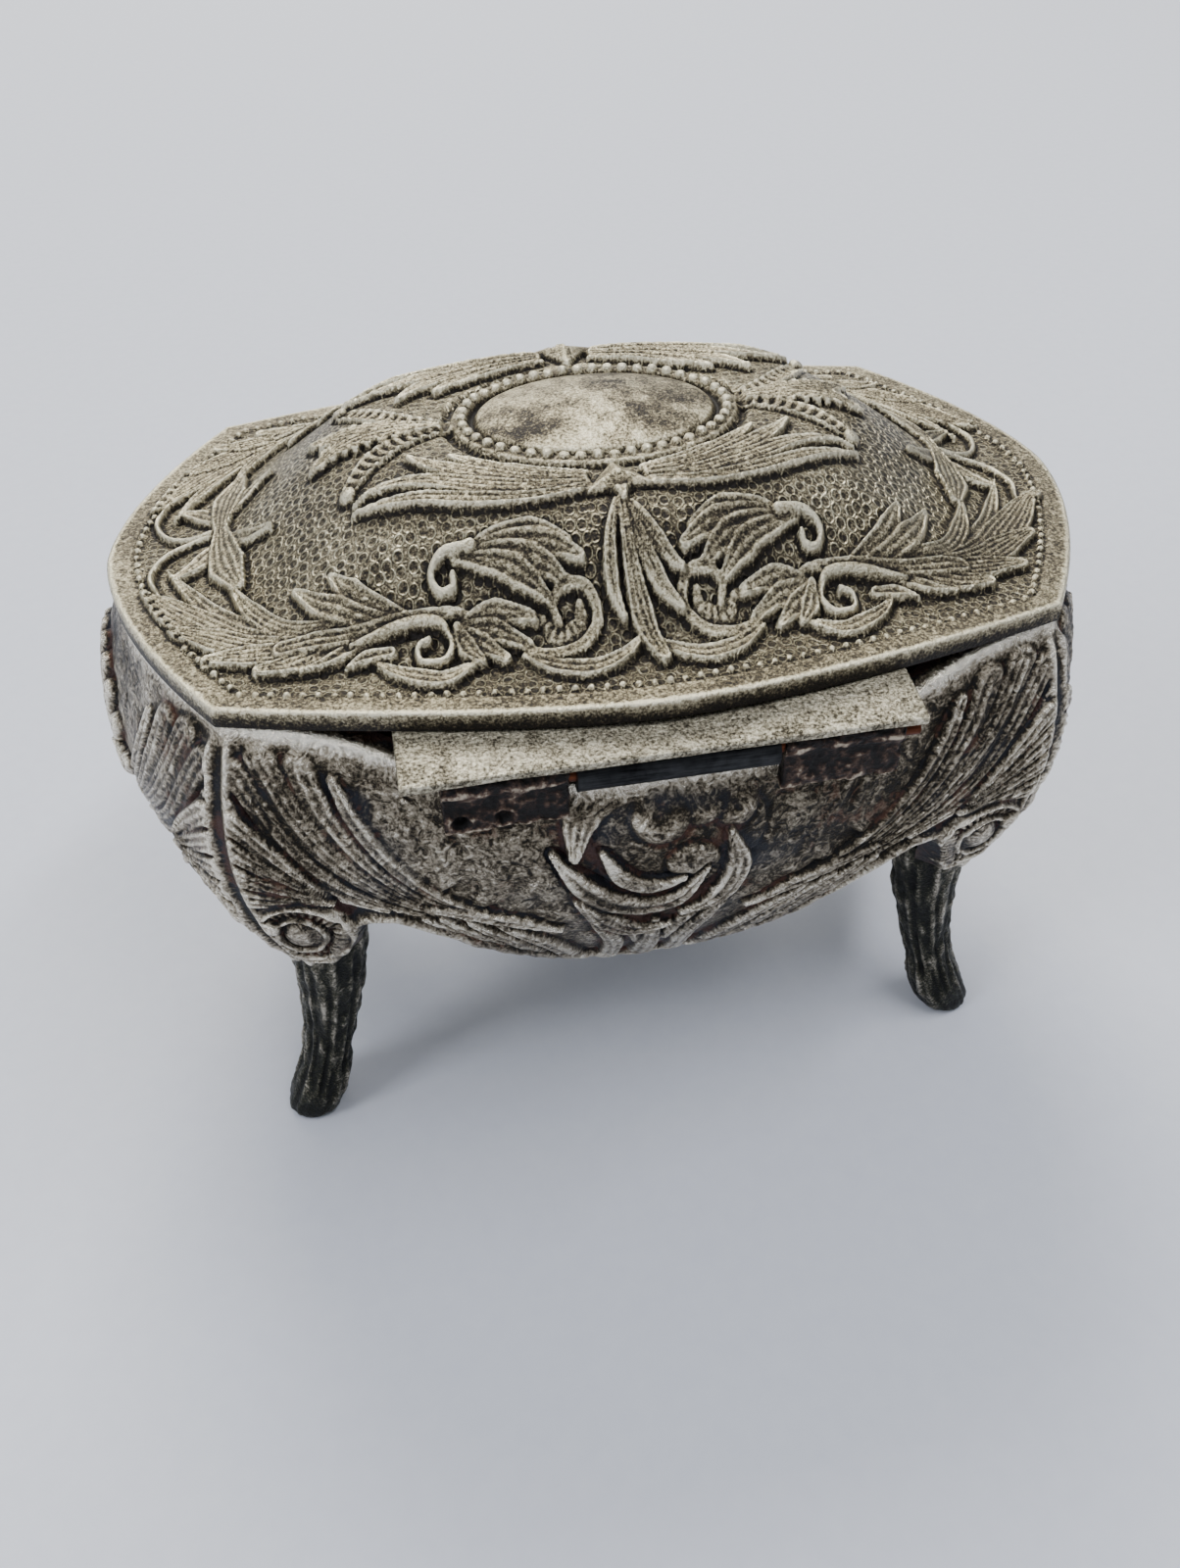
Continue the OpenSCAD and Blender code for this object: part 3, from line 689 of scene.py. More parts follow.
def paint_wear_and_light(piece, values):
    """Stores each vertex's wear, with any painted light added to it, from 0 to 1."""
    layer = piece.data.attributes.get("wear_and_painted_light") or piece.data.attributes.new("wear_and_painted_light", "FLOAT", "POINT")
    layer.data.foreach_set("value", np.clip(values, 0, 1).astype(np.float32))


def lumps(points, size, seed):
    """Smooth value noise from -0.5 to 0.5 in space; size and points in the same unit."""
    g = points / size
    cell = np.floor(g)
    f = smooth(g - cell)
    total = np.zeros(len(points))
    for dx in (0, 1):
        for dy in (0, 1):
            for dz in (0, 1):
                weight = np.abs(1 - dx - f[:, 0]) * np.abs(1 - dy - f[:, 1]) * np.abs(1 - dz - f[:, 2])
                value = scatter(cell[:, 0] + dx, cell[:, 1] + dy + 57 * (cell[:, 2] + dz), seed)
                total += weight * value
    return total - 0.5


def roughen(piece, size, depth, seed):
    """Moves each vertex along its normal by smooth noise; size and depth in metres."""
    co = vertices_of(piece)
    move_vertices(piece, co + vertices_of(piece, "normal") * (lumps(co, size, seed) * depth)[:, None])


# ---------------------------------------------------------------------------------------------
# Materials
# ---------------------------------------------------------------------------------------------
def linear(colour):
    """sRGB hex, such as #8c887c, as a linear colour with alpha."""
    values = [int(colour[i:i + 2], 16) / 255 for i in (1, 3, 5)]
    return (*[v / 12.92 if v <= 0.04045 else ((v + 0.055) / 1.055) ** 2.4 for v in values], 1.0)


def add(tree, kind, inputs=None, **settings):
    """Adds a node with its settings; inputs are constants or the sockets that feed it."""
    made = tree.nodes.new(kind)
    for key, value in settings.items():
        setattr(made, key, value)
    for key, value in (inputs or {}).items():
        if isinstance(value, bpy.types.NodeSocket):
            tree.links.new(value, made.inputs[key])
        else:
            made.inputs[key].default_value = value
    return made


def ramp(tree, factor, stops):
    """Colour ramp through (place, hex) stops."""
    made = add(tree, "ShaderNodeValToRGB", {"Fac": factor})
    elements = made.color_ramp.elements
    while len(elements) < len(stops):
        elements.new(0.5)
    for element, (place, colour) in zip(elements, stops):
        element.position = place
        element.color = linear(colour)
    return made.outputs["Color"]


def noise(tree, where, size_mm, detail=3.0, roughness=0.5):
    """Noise whose features are about size_mm across."""
    made = add(tree, "ShaderNodeTexNoise",
               {"Vector": where, "Scale": 1000 / size_mm, "Detail": detail, "Roughness": roughness})
    return made.outputs["Fac"]


def sums(tree, *terms):
    """Sum of (socket, factor) terms and plain numbers."""
    total = None
    for term in terms:
        socket, factor = term if isinstance(term, tuple) else (None, term)
        if total is None:
            made = add(tree, "ShaderNodeMath", {0: socket, 1: factor}, operation="MULTIPLY")
        elif socket is None:
            made = add(tree, "ShaderNodeMath", {0: total, 1: factor}, operation="ADD")
        else:
            made = add(tree, "ShaderNodeMath", {0: socket, 1: factor, 2: total}, operation="MULTIPLY_ADD")
        total = made.outputs[0]
    return total


def between(tree, value, low, high, out_low, out_high):
    """Maps a value from one range to another and holds it at the ends."""
    made = add(tree, "ShaderNodeMapRange", {"Value": value, "From Min": low, "From Max": high,
                                            "To Min": out_low, "To Max": out_high})
    return made.outputs["Result"]


def blend_colours(tree, factor, first, second):
    """Mix of two colours, each a socket or a hex value."""
    made = add(tree, "ShaderNodeMix", {"Factor": factor}, data_type="RGBA")
    for socket, value in (("A", first), ("B", second)):
        target = [i for i in made.inputs if i.name == socket and i.type == "RGBA"][0]
        if isinstance(value, str):
            target.default_value = linear(value)
        else:
            tree.links.new(value, target)
    return [o for o in made.outputs if o.type == "RGBA"][0]


def new_material(name):
    """Material with a Principled shader, and the Object coordinates that its patterns read."""
    material = bpy.data.materials.new(name)
    material.use_nodes = True
    tree = material.node_tree
    tree.nodes.clear()
    output = add(tree, "ShaderNodeOutputMaterial")
    shader = add(tree, "ShaderNodeBsdfPrincipled")
    tree.links.new(shader.outputs[0], output.inputs["Surface"])
    where = add(tree, "ShaderNodeTexCoord").outputs["Object"]
    return material, tree, shader, where


def connect(tree, shader, **sockets):
    """Links or sets the shader's inputs; an underscore in a name stands for a space."""
    for key, value in sockets.items():
        name = key.replace("_", " ")
        if isinstance(value, bpy.types.NodeSocket):
            tree.links.new(value, shader.inputs[name])
        else:
            shader.inputs[name].default_value = value


def bump(tree, height, depth_mm):
    """Normals of a surface that a height from 0 to 1 raises by a depth."""
    return add(tree, "ShaderNodeBump", {"Height": height, "Distance": depth_mm * MM}).outputs["Normal"]


def old_silver_plate(name, stops, metal=(0.6, 1.0), rough=(0.6, 0.36), punch_mm=0.0):
    """Silver plate on a white-metal sand casting, never polished: warm grey with a fine dry grain,
    brown-black in the recesses and rubbed paler on the crests; open ground struck with a ring punch."""
    material, tree, shader, where = new_material(name)
    # the wear layer holds cavity wear; on a casting it also holds a painted shade along the rim
    wear_and_painted_light = add(tree, "ShaderNodeAttribute", attribute_name="wear_and_painted_light").outputs["Fac"]
    blotch = noise(tree, where, 14, 4, 0.6)
    mottling = noise(tree, where, 1.2, 4, 0.65)
    grit = noise(tree, where, 0.3, 3, 0.65)
    speckle = noise(tree, where, 0.75, 5, 0.75)
    terms = [(wear_and_painted_light, 0.9), (blotch, 0.4), (mottling, 0.3), (speckle, 0.55), (grit, 0.95), -1.08]
    relief = [(grit, 1.6), (mottling, 0.5)]
    if punch_mm:
        ground = add(tree, "ShaderNodeAttribute", attribute_name="ground").outputs["Fac"]
        punches = add(tree, "ShaderNodeTexVoronoi",
                      {"Vector": where, "Scale": 1000 / punch_mm, "Randomness": 0.5},
                      voronoi_dimensions="2D", feature="F1")
        cell = punches.outputs["Distance"]
        inner = between(tree, cell, 0.3, 0.4, 0, 1)
        outer = between(tree, cell, 0.43, 0.52, 1, 0)
        ring = add(tree, "ShaderNodeMath", {0: inner, 1: outer}, operation="MINIMUM").outputs[0]
        struck = add(tree, "ShaderNodeMath", {0: ring, 1: ground}, operation="MULTIPLY").outputs[0]
        well = add(tree, "ShaderNodeMath", {0: between(tree, cell, 0.22, 0.36, 1, 0), 1: ground},
                   operation="MULTIPLY").outputs[0]
        terms += [(struck, 0.24), (well, -0.1), (ground, -0.02)]
        relief += [(struck, 1.5), (well, -0.5)]
    tone = sums(tree, *terms)
    colour = ramp(tree, tone, stops)
    connect(tree, shader, Base_Color=colour,
            Metallic=between(tree, tone, 0.2, 0.5, *metal),
            Roughness=between(tree, tone, 0.25, 0.75, *rough),
            Normal=bump(tree, sums(tree, *relief), 0.12))
    return material


def tarnished_silver(name, settings):
    """Silver plate worn and tarnished on a casting: pale on the swells, brown-black sulphide in the
    hollows with a blue-black bloom, and copper flash where the plate has rubbed off."""
    material, tree, shader, where = new_material(name)
    # the wear layer holds cavity wear, a painted shade along the rim and a painted highlight along the upper
    # edge
    wear_and_painted_light = add(tree, "ShaderNodeAttribute", attribute_name="wear_and_painted_light").outputs["Fac"]
    cloud = noise(tree, where, 16, 3, 0.55)
    wandering = add(tree, "ShaderNodeTexNoise", {"Vector": where, "Scale": 1000 / 1.8, "Detail": 4.0,
                                                 "Roughness": 0.6, "Distortion": 2.4}).outputs["Fac"]
    grit = noise(tree, where, 0.32, 3, 0.65)
    tone = sums(tree, (wear_and_painted_light, 1.0), (cloud, 0.5), (wandering, 0.95), (grit, 0.6), -1.06)
    silver = ramp(tree, tone, [(0.24, "#0b0907"), (0.38, "#2c271f"), (0.5, "#665e50"), (0.62, "#9b9280"),
                               (0.84, settings.bright_silver)])
    rubbed = noise(tree, where, 6, 3, 0.6)
    copper_mask = between(tree, sums(tree, (rubbed, 1.0), (wandering, 0.5), (wear_and_painted_light, -0.5)), 0.6, 0.7, 0, 0.5)
    bloom = between(tree, sums(tree, (noise(tree, where, 11, 3, 0.5), 1.0), (wear_and_painted_light, -0.5)), 0.3, 0.44, 0, 0.55)
    cool = blend_colours(tree, bloom, silver, "#30343d")
    colour = blend_colours(tree, copper_mask, cool, settings.copper_flash)
    connect(tree, shader, Base_Color=colour,
            Metallic=between(tree, tone, 0.2, 0.42, 0.6, 1.0),
            Roughness=between(tree, tone, 0.3, 0.8, 0.46, 0.2),
            Normal=bump(tree, sums(tree, (grit, 0.9), (wandering, 1.3)), 0.22))
    return material


def pitted_iron(name):
    """Steel strip with old solder and scale over it: brown-black, deeply pitted, with painted highlights on
    the lips.
    """
    material, tree, shader, where = new_material(name)
    cells_of_rust = add(tree, "ShaderNodeTexVoronoi", {"Vector": where, "Scale": 1000 / 0.9}, feature="F1")
    pits = cells_of_rust.outputs["Distance"]
    scale = noise(tree, where, 0.7, 4, 0.7)
    broad = noise(tree, where, 4, 3, 0.6)
    # the wear layer holds the pitting and the painted highlights on the lips
    wear_and_painted_light = add(tree, "ShaderNodeAttribute", attribute_name="wear_and_painted_light").outputs["Fac"]
    tone = sums(tree, (scale, 0.8), (pits, 0.3), (broad, 0.3), (wear_and_painted_light, 0.8), -0.44)
    colour = ramp(tree, tone, [(0.34, "#0b0806"), (0.47, "#2b201b"), (0.6, "#5b4a3f"), (0.76, "#b4a894")])
    connect(tree, shader, Base_Color=colour, Metallic=between(tree, tone, 0.3, 0.7, 0.5, 1.0),
            Roughness=between(tree, tone, 0.3, 0.8, 0.62, 0.34),
            Normal=bump(tree, sums(tree, (scale, 0.7), (pits, 0.5)), 0.35))
    return material


def grained_plate(name):
    """Rolled white-metal plate, left rough: grainy warm grey with hairline scratches along it."""
    material, tree, shader, where = new_material(name)
    grit = noise(tree, where, 0.35, 3, 0.7)
    mottling = noise(tree, where, 2.0, 3, 0.6)
    stretched = add(tree, "ShaderNodeMapping",
                    {"Vector": where, "Scale": (0.08, 1.0, 1.0), "Rotation": (0, 0, 0.05)})
    lines = noise(tree, stretched.outputs["Vector"], 0.3, 2, 0.5)
    tone = sums(tree, (grit, 1.2), (mottling, 0.5), (lines, 0.2), -0.45)
    colour = ramp(tree, tone, [(0.3, "#3c372c"), (0.43, "#827b69"), (0.56, "#b0a993"), (0.72, "#dbd4bd")])
    connect(tree, shader, Base_Color=colour, Metallic=0.9,
            Roughness=between(tree, tone, 0.3, 0.7, 0.6, 0.34),
            Normal=bump(tree, sums(tree, (grit, 1.4), (mottling, 0.8), (lines, 0.2)), 0.14))
    return material


def drawn_metal(name, dark, light, rough, size_mm):
    """Drawn tube or rod: even metal with fine lines along it and a thin uneven tarnish."""
    material, tree, shader, where = new_material(name)
    along = add(tree, "ShaderNodeMapping", {"Vector": where, "Scale": (0.06, 1.0, 1.0)})
    lines = noise(tree, along.outputs["Vector"], size_mm, 3, 0.6)
    film = noise(tree, where, 2.5, 3, 0.6)
    tone = sums(tree, (lines, 0.5), (film, 0.6), -0.05)
    connect(tree, shader, Base_Color=ramp(tree, tone, [(0.35, dark), (0.65, light)]), Metallic=1.0,
            Roughness=between(tree, tone, 0.35, 0.65, rough + 0.12, rough - 0.06),
            Normal=bump(tree, lines, 0.03))
    return material


def velvet(name, colour):
    """Cotton velvet glued to card: short upright pile, deep colour that pales at a glancing angle."""
    material, tree, shader, where = new_material(name)
    # a pile this fine (0.1 mm) would not show, so it is drawn at 0.5 mm
    pile = noise(tree, where, 0.5, 3, 0.7)
    brushed = noise(tree, where, 7, 3, 0.5)
    tone = sums(tree, (pile, 0.6), (brushed, 0.3), 0.05)
    shade = linear(colour)
    stops = ramp(tree, tone, [(0.34, "#26060a"), (0.52, colour), (0.74, "#6d1a22")])
    tint = (min(1, shade[0] * 3 + 0.3), shade[1] + 0.3, shade[2] + 0.3, 1)
    connect(tree, shader, Base_Color=stops, Roughness=0.95, Normal=bump(tree, pile, 0.25),
            Sheen_Weight=0.45, Sheen_Roughness=0.35, Sheen_Tint=tint, Specular_IOR_Level=0.2)
    return material


def give(piece, material):
    """Makes the material the piece's only one."""
    piece.data.materials.clear()
    piece.data.materials.append(material)


def shared(name, make, *arguments):
    """The material of that name, made the first time that it is asked for."""
    return bpy.data.materials.get(name) or make(name, *arguments)


def lid_finish():
    """Khaki-grey patina of the lid, with its ring-punched ground."""
    crests = bpy.context.scene.casket_finish.lid_crests
    stops = [(0.24, "#17120d"), (0.38, "#463f32"), (0.5, "#7c745f"), (0.62, "#aaa187"), (0.84, crests)]
    punch = bpy.context.scene.casket_sizes.punch_pitch / MM
    return shared("Old silver plate, sand cast", old_silver_plate, stops, (0.6, 1.0), (0.5, 0.3), punch)


def body_finish():
    """Brighter, streaky tarnish of the walls."""
    return shared("Tarnished silver over copper, cast", tarnished_silver, bpy.context.scene.casket_finish)


def leg_finish():
    """Dark, greenish, bark-like legs."""
    stops = [(0.26, "#0b0c0a"), (0.44, "#252620"), (0.58, "#46453b"), (0.72, "#746f63"), (0.9, "#bdb6a7")]
    return shared("Dull silver plate, bark cast", old_silver_plate, stops, (0.5, 1.0), (0.55, 0.3))


def place(piece, body, slot, material, node):
    """Finishes a piece: its body, material and the CAD node that it stands for; slot is not used."""
    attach(piece, body)
    give(piece, material)
    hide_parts(node)


# ---------------------------------------------------------------------------------------------
# Settings
# ---------------------------------------------------------------------------------------------
class CasketSizes(bpy.types.PropertyGroup):
    """Depths and pitches of the cast ornament."""

    lid_relief: bpy.props.FloatProperty(
        name="Lid relief",
        description="How strongly the lid's ornament stands up, as a share of its cut depth",
        default=1.0, min=0.3, max=1.4, subtype="FACTOR")
    wall_relief: bpy.props.FloatProperty(
        name="Wall relief",
        description="How strongly the walls' ornament stands out, as a share of its cut depth",
        default=1.0, min=0.3, max=1.3, subtype="FACTOR")
    punch_pitch: bpy.props.FloatProperty(
        name="Ring punch pitch", description="Distance between the ring punches in the lid's ground",
        default=0.00128, min=0.001, max=0.002, unit="LENGTH", precision=5)
    cell: bpy.props.FloatProperty(
        name="Mesh cell", description="Size of the mesh cells of the castings",
        default=0.00018, min=0.00017, max=0.001, unit="LENGTH", precision=6)


class CasketFinish(bpy.types.PropertyGroup):
    """Colours of the finishes, as sRGB hex values."""

    lid_crests: bpy.props.StringProperty(
        name="Lid crests", description="Colour of the rubbed crests of the lid", default="#d9d2b8")
    bright_silver: bpy.props.StringProperty(
        name="Bright silver", description="Colour of the walls where the plate is bright", default="#e9e2d0")
    copper_flash: bpy.props.StringProperty(
        name="Copper flash", description="Colour of the worn-through patches on the walls", default="#5f4034")
    velvet_colour: bpy.props.StringProperty(
        name="Velvet", description="Colour of the lining", default="#480d14")


def grid(cells_u, cells_v):
    """Square grid of u and v from -1 to 1."""
    return np.meshgrid(np.linspace(-1, 1, cells_u + 1), np.linspace(-1, 1, cells_v + 1), indexing="ij")


def cells(length_mm, step):
    """Number of mesh cells over a length, a whole number of coarse steps."""
    size = bpy.context.scene.casket_sizes.cell / MM
    return step * max(2, round(length_mm / size / step))


# ---------------------------------------------------------------------------------------------
# Operators: one for each piece or group of like pieces
# ---------------------------------------------------------------------------------------------
class CASKET_OT_lid(bpy.types.Operator):
    """Cast the lid in four quarters: ornament, bead rows, medallion, rim and hollow underside"""

    bl_idname = "casket.lid"
    bl_label = "Lid casting"

    def execute(self, context):
        sizes = context.scene.casket_sizes
        corners = (*LID_CORNER, LID_MID_END, LID_MID_LONG)
        nu, nv = cells(LID_MID_END, UNDER_STEP), cells(LID_MID_LONG, UNDER_STEP)
        for name, (sx, sy) in QUARTERS.items():
            u, v = np.meshgrid(np.linspace(0, sx, nu + 1), np.linspace(0, sy, nv + 1), indexing="ij")
            x, y = bowed(u, v, *corners)
            relief, ground, polish = lid_relief(x, y, sizes.lid_relief)
            top = np.stack([x, y + CENTRE_Y, RIM_Z + dome_height(x, y) + relief], -1)
            xs, ys = x[::UNDER_STEP, ::UNDER_STEP], y[::UNDER_STEP, ::UNDER_STEP]
            hollow = np.hypot(xs, ys) < lid_radius(np.arctan2(ys, xs)) - LID_BORDER - LID_LIP
            z = np.where(hollow, RIM_Z + dome_height(xs, ys) - DOME_WALL, RIM_Z - LID_RIM)
            under = np.stack([xs, ys + CENTRE_Y, z], -1)
            wear_and_painted_light = wear_of(relief) + polish
            piece = shell_piece("lid_casting_" + name, top, under, UNDER_STEP, wear_and_painted_light, ground, quarter=True)
            place(piece, "lid", "lid_casting", lid_finish(), "lid_shell")
        return {"FINISHED"}


class CASKET_OT_walls(bpy.types.Operator):
    """Cast the four bombe walls with their fans, rosettes, flutes and rolled lower edges"""

    bl_idname = "casket.walls"
    bl_label = "Wall castings"

    def execute(self, context):
        amount = context.scene.casket_sizes.wall_relief
        nodes = {"back": "back_wall", "front": "front_wall",
                 "left": "left_end_wall", "right": "right_end_wall"}
        for side, node in nodes.items():
            long_side = side in ("back", "front")
            nu = cells(LONG_WALL if long_side else END_WALL, UNDER_STEP)
            nv = cells(WALL_DROP, UNDER_STEP)
            u, v = grid(nu, nv)
            high, low = top_depth(side, u), apron_depth(u)
            depth = high + (low - high) * (v + 1) / 2
            plain = wall_points(side, u, depth, 0)
            lateral = plain[..., 0] if long_side else plain[..., 1] - CENTRE_Y
            relief, rim = wall_relief(side, u, depth, lateral, amount)
            normal = np.cross(np.gradient(plain, axis=0), np.gradient(plain, axis=1))
            normal /= np.linalg.norm(normal, axis=-1, keepdims=True)
            centre = np.array([0, CENTRE_Y, 0])
            outward = ((plain - centre)[..., :2] * normal[..., :2]).sum(-1, keepdims=True)
            outer = plain + normal * np.sign(outward) * relief[..., None]
            inner = wall_points(side, u, depth, WALL)[::UNDER_STEP, ::UNDER_STEP]
            # rim is the painted highlight along the wall's upper edge, added to the wear layer
            piece = shell_piece(node + "_casting", outer, inner, UNDER_STEP, wear_of(relief, 0.4, 0.4) + rim)
            place(piece, "casket", "body_casting", body_finish(), node)
        return {"FINISHED"}


def leg_centre(t):
    """Centre of the leg in plan, from its top (t = 0) to the floor (t = 1)."""
    return LEG_TOP + (LEG_FOOT - LEG_TOP) * (0.35 * t + 0.65 * t**2.6)


def leg_radius(t):
    """The leg narrows to its ankle, then swells to its foot."""
    if t < ANKLE:
        return LEG_TOP_RADIUS + (ANKLE_RADIUS - LEG_TOP_RADIUS) * float(smooth(t / ANKLE))
    return ANKLE_RADIUS + (FOOT_RADIUS - ANKLE_RADIUS) * math.sin(math.pi * (t - ANKLE) / 0.4)


class CASKET_OT_legs(bpy.types.Operator):
    """Model one cabriole leg by extruding level rings down its path, cut its bark flutes, copy it to four"""

    bl_idname = "casket.legs"
    bl_label = "Legs"

    def execute(self, context):
        sides, rings = 112, 80
        height = RIM_Z - LEG_DEPTH
        clear_selection()
        centre = leg_centre(0)
        bpy.ops.mesh.primitive_circle_add(
            vertices=sides, radius=leg_radius(0) * MM, fill_type="NGON",
            location=(centre[0] * MM, (centre[1] + CENTRE_Y) * MM, height * MM))
        leg = start_piece("leg_casting_back_right")
        bpy.ops.object.transform_apply(location=True, rotation=False, scale=False)
        bpy.ops.object.mode_set(mode="EDIT")
        bpy.ops.mesh.select_all(action="SELECT")
        before_r = leg_radius(0)
        for k in range(1, rings + 1):
            t = k / rings
            step = leg_centre(t) - leg_centre((k - 1) / rings)
            sole = math.sqrt(max(0.02, 1 - max(0.0, (t - 0.93) / 0.07) ** 2))
            radius = leg_radius(t) * (0.55 + 0.45 * sole)
            bpy.ops.mesh.extrude_region_move(
                TRANSFORM_OT_translate={"value": (step[0] * MM, step[1] * MM, -height / rings * MM)})
            spot = leg_centre(t)
            bpy.ops.transform.resize(
                value=(radius / before_r, radius / before_r, 1),
                center_override=(spot[0] * MM, (spot[1] + CENTRE_Y) * MM, height * (1 - t) * MM))
            before_r = radius
        bpy.ops.mesh.select_all(action="SELECT")
        bpy.ops.mesh.normals_make_consistent(inside=False)
        bpy.ops.object.mode_set(mode="OBJECT")
        self.cut_bark(leg, height)
        legs = {"back_right": leg}
        for corner, (sx, sy) in list(QUARTERS.items())[1:]:
            copy = bpy.data.objects.new("leg_casting_" + corner, leg.data.copy())
            bpy.context.collection.objects.link(copy)
            co = vertices_of(copy)
            co[:, 0] *= sx
            co[:, 1] = (co[:, 1] - CENTRE_Y * MM) * sy + CENTRE_Y * MM
            move_vertices(copy, co)
            if sx * sy < 0:
                copy.data.flip_normals()
            legs[corner] = copy
        for corner, piece in legs.items():
            settle(piece, 50)
            place(piece, "casket", "leg_casting", leg_finish(), "leg_" + corner)
        return {"FINISHED"}

    def cut_bark(self, leg, height):
        """Uneven lengthwise flutes that fade out on the rounded foot."""
        co = vertices_of(leg)
        z = co[:, 2] / MM
        t = np.clip(1 - z / height, 0, 1)
        middle = np.array([leg_centre(value) for value in t])
        dx, dy = co[:, 0] / MM - middle[:, 0], co[:, 1] / MM - CENTRE_Y - middle[:, 1]
        angle, radius = np.arctan2(dy, dx), np.hypot(dx, dy)
        wander = 0.35 * np.sin(z * 0.5 + 3 * np.cos(angle)) + 0.3 * np.sin(z * 1.3 + 2 * angle)
        flutes = np.cos(15 * angle + wander) + 0.5 * np.cos(23 * angle - 1.7 * wander)
        knots = lumps(np.stack([dx, dy, z * 0.5], -1), 1.1, 8)
        knots += 0.4 * lumps(np.stack([dx, dy, z], -1), 0.6, 9)
        fade = 1 - 0.75 * smooth((t - 0.78) / 0.12)
        rim = smooth((1 - t) / 0.03) * smooth(t / 0.02)
        shift = (0.16 * flutes * fade + 0.55 * knots) * rim
        scale = np.where(radius > 0.5, (radius + shift) / np.maximum(radius, 0.5), 1)
        co[:, 0] = (middle[:, 0] + dx * scale) * MM
        co[:, 1] = (middle[:, 1] + dy * scale + CENTRE_Y) * MM
        move_vertices(leg, co)
        paint_wear_and_light(leg, 0.5 + 0.9 * shift)


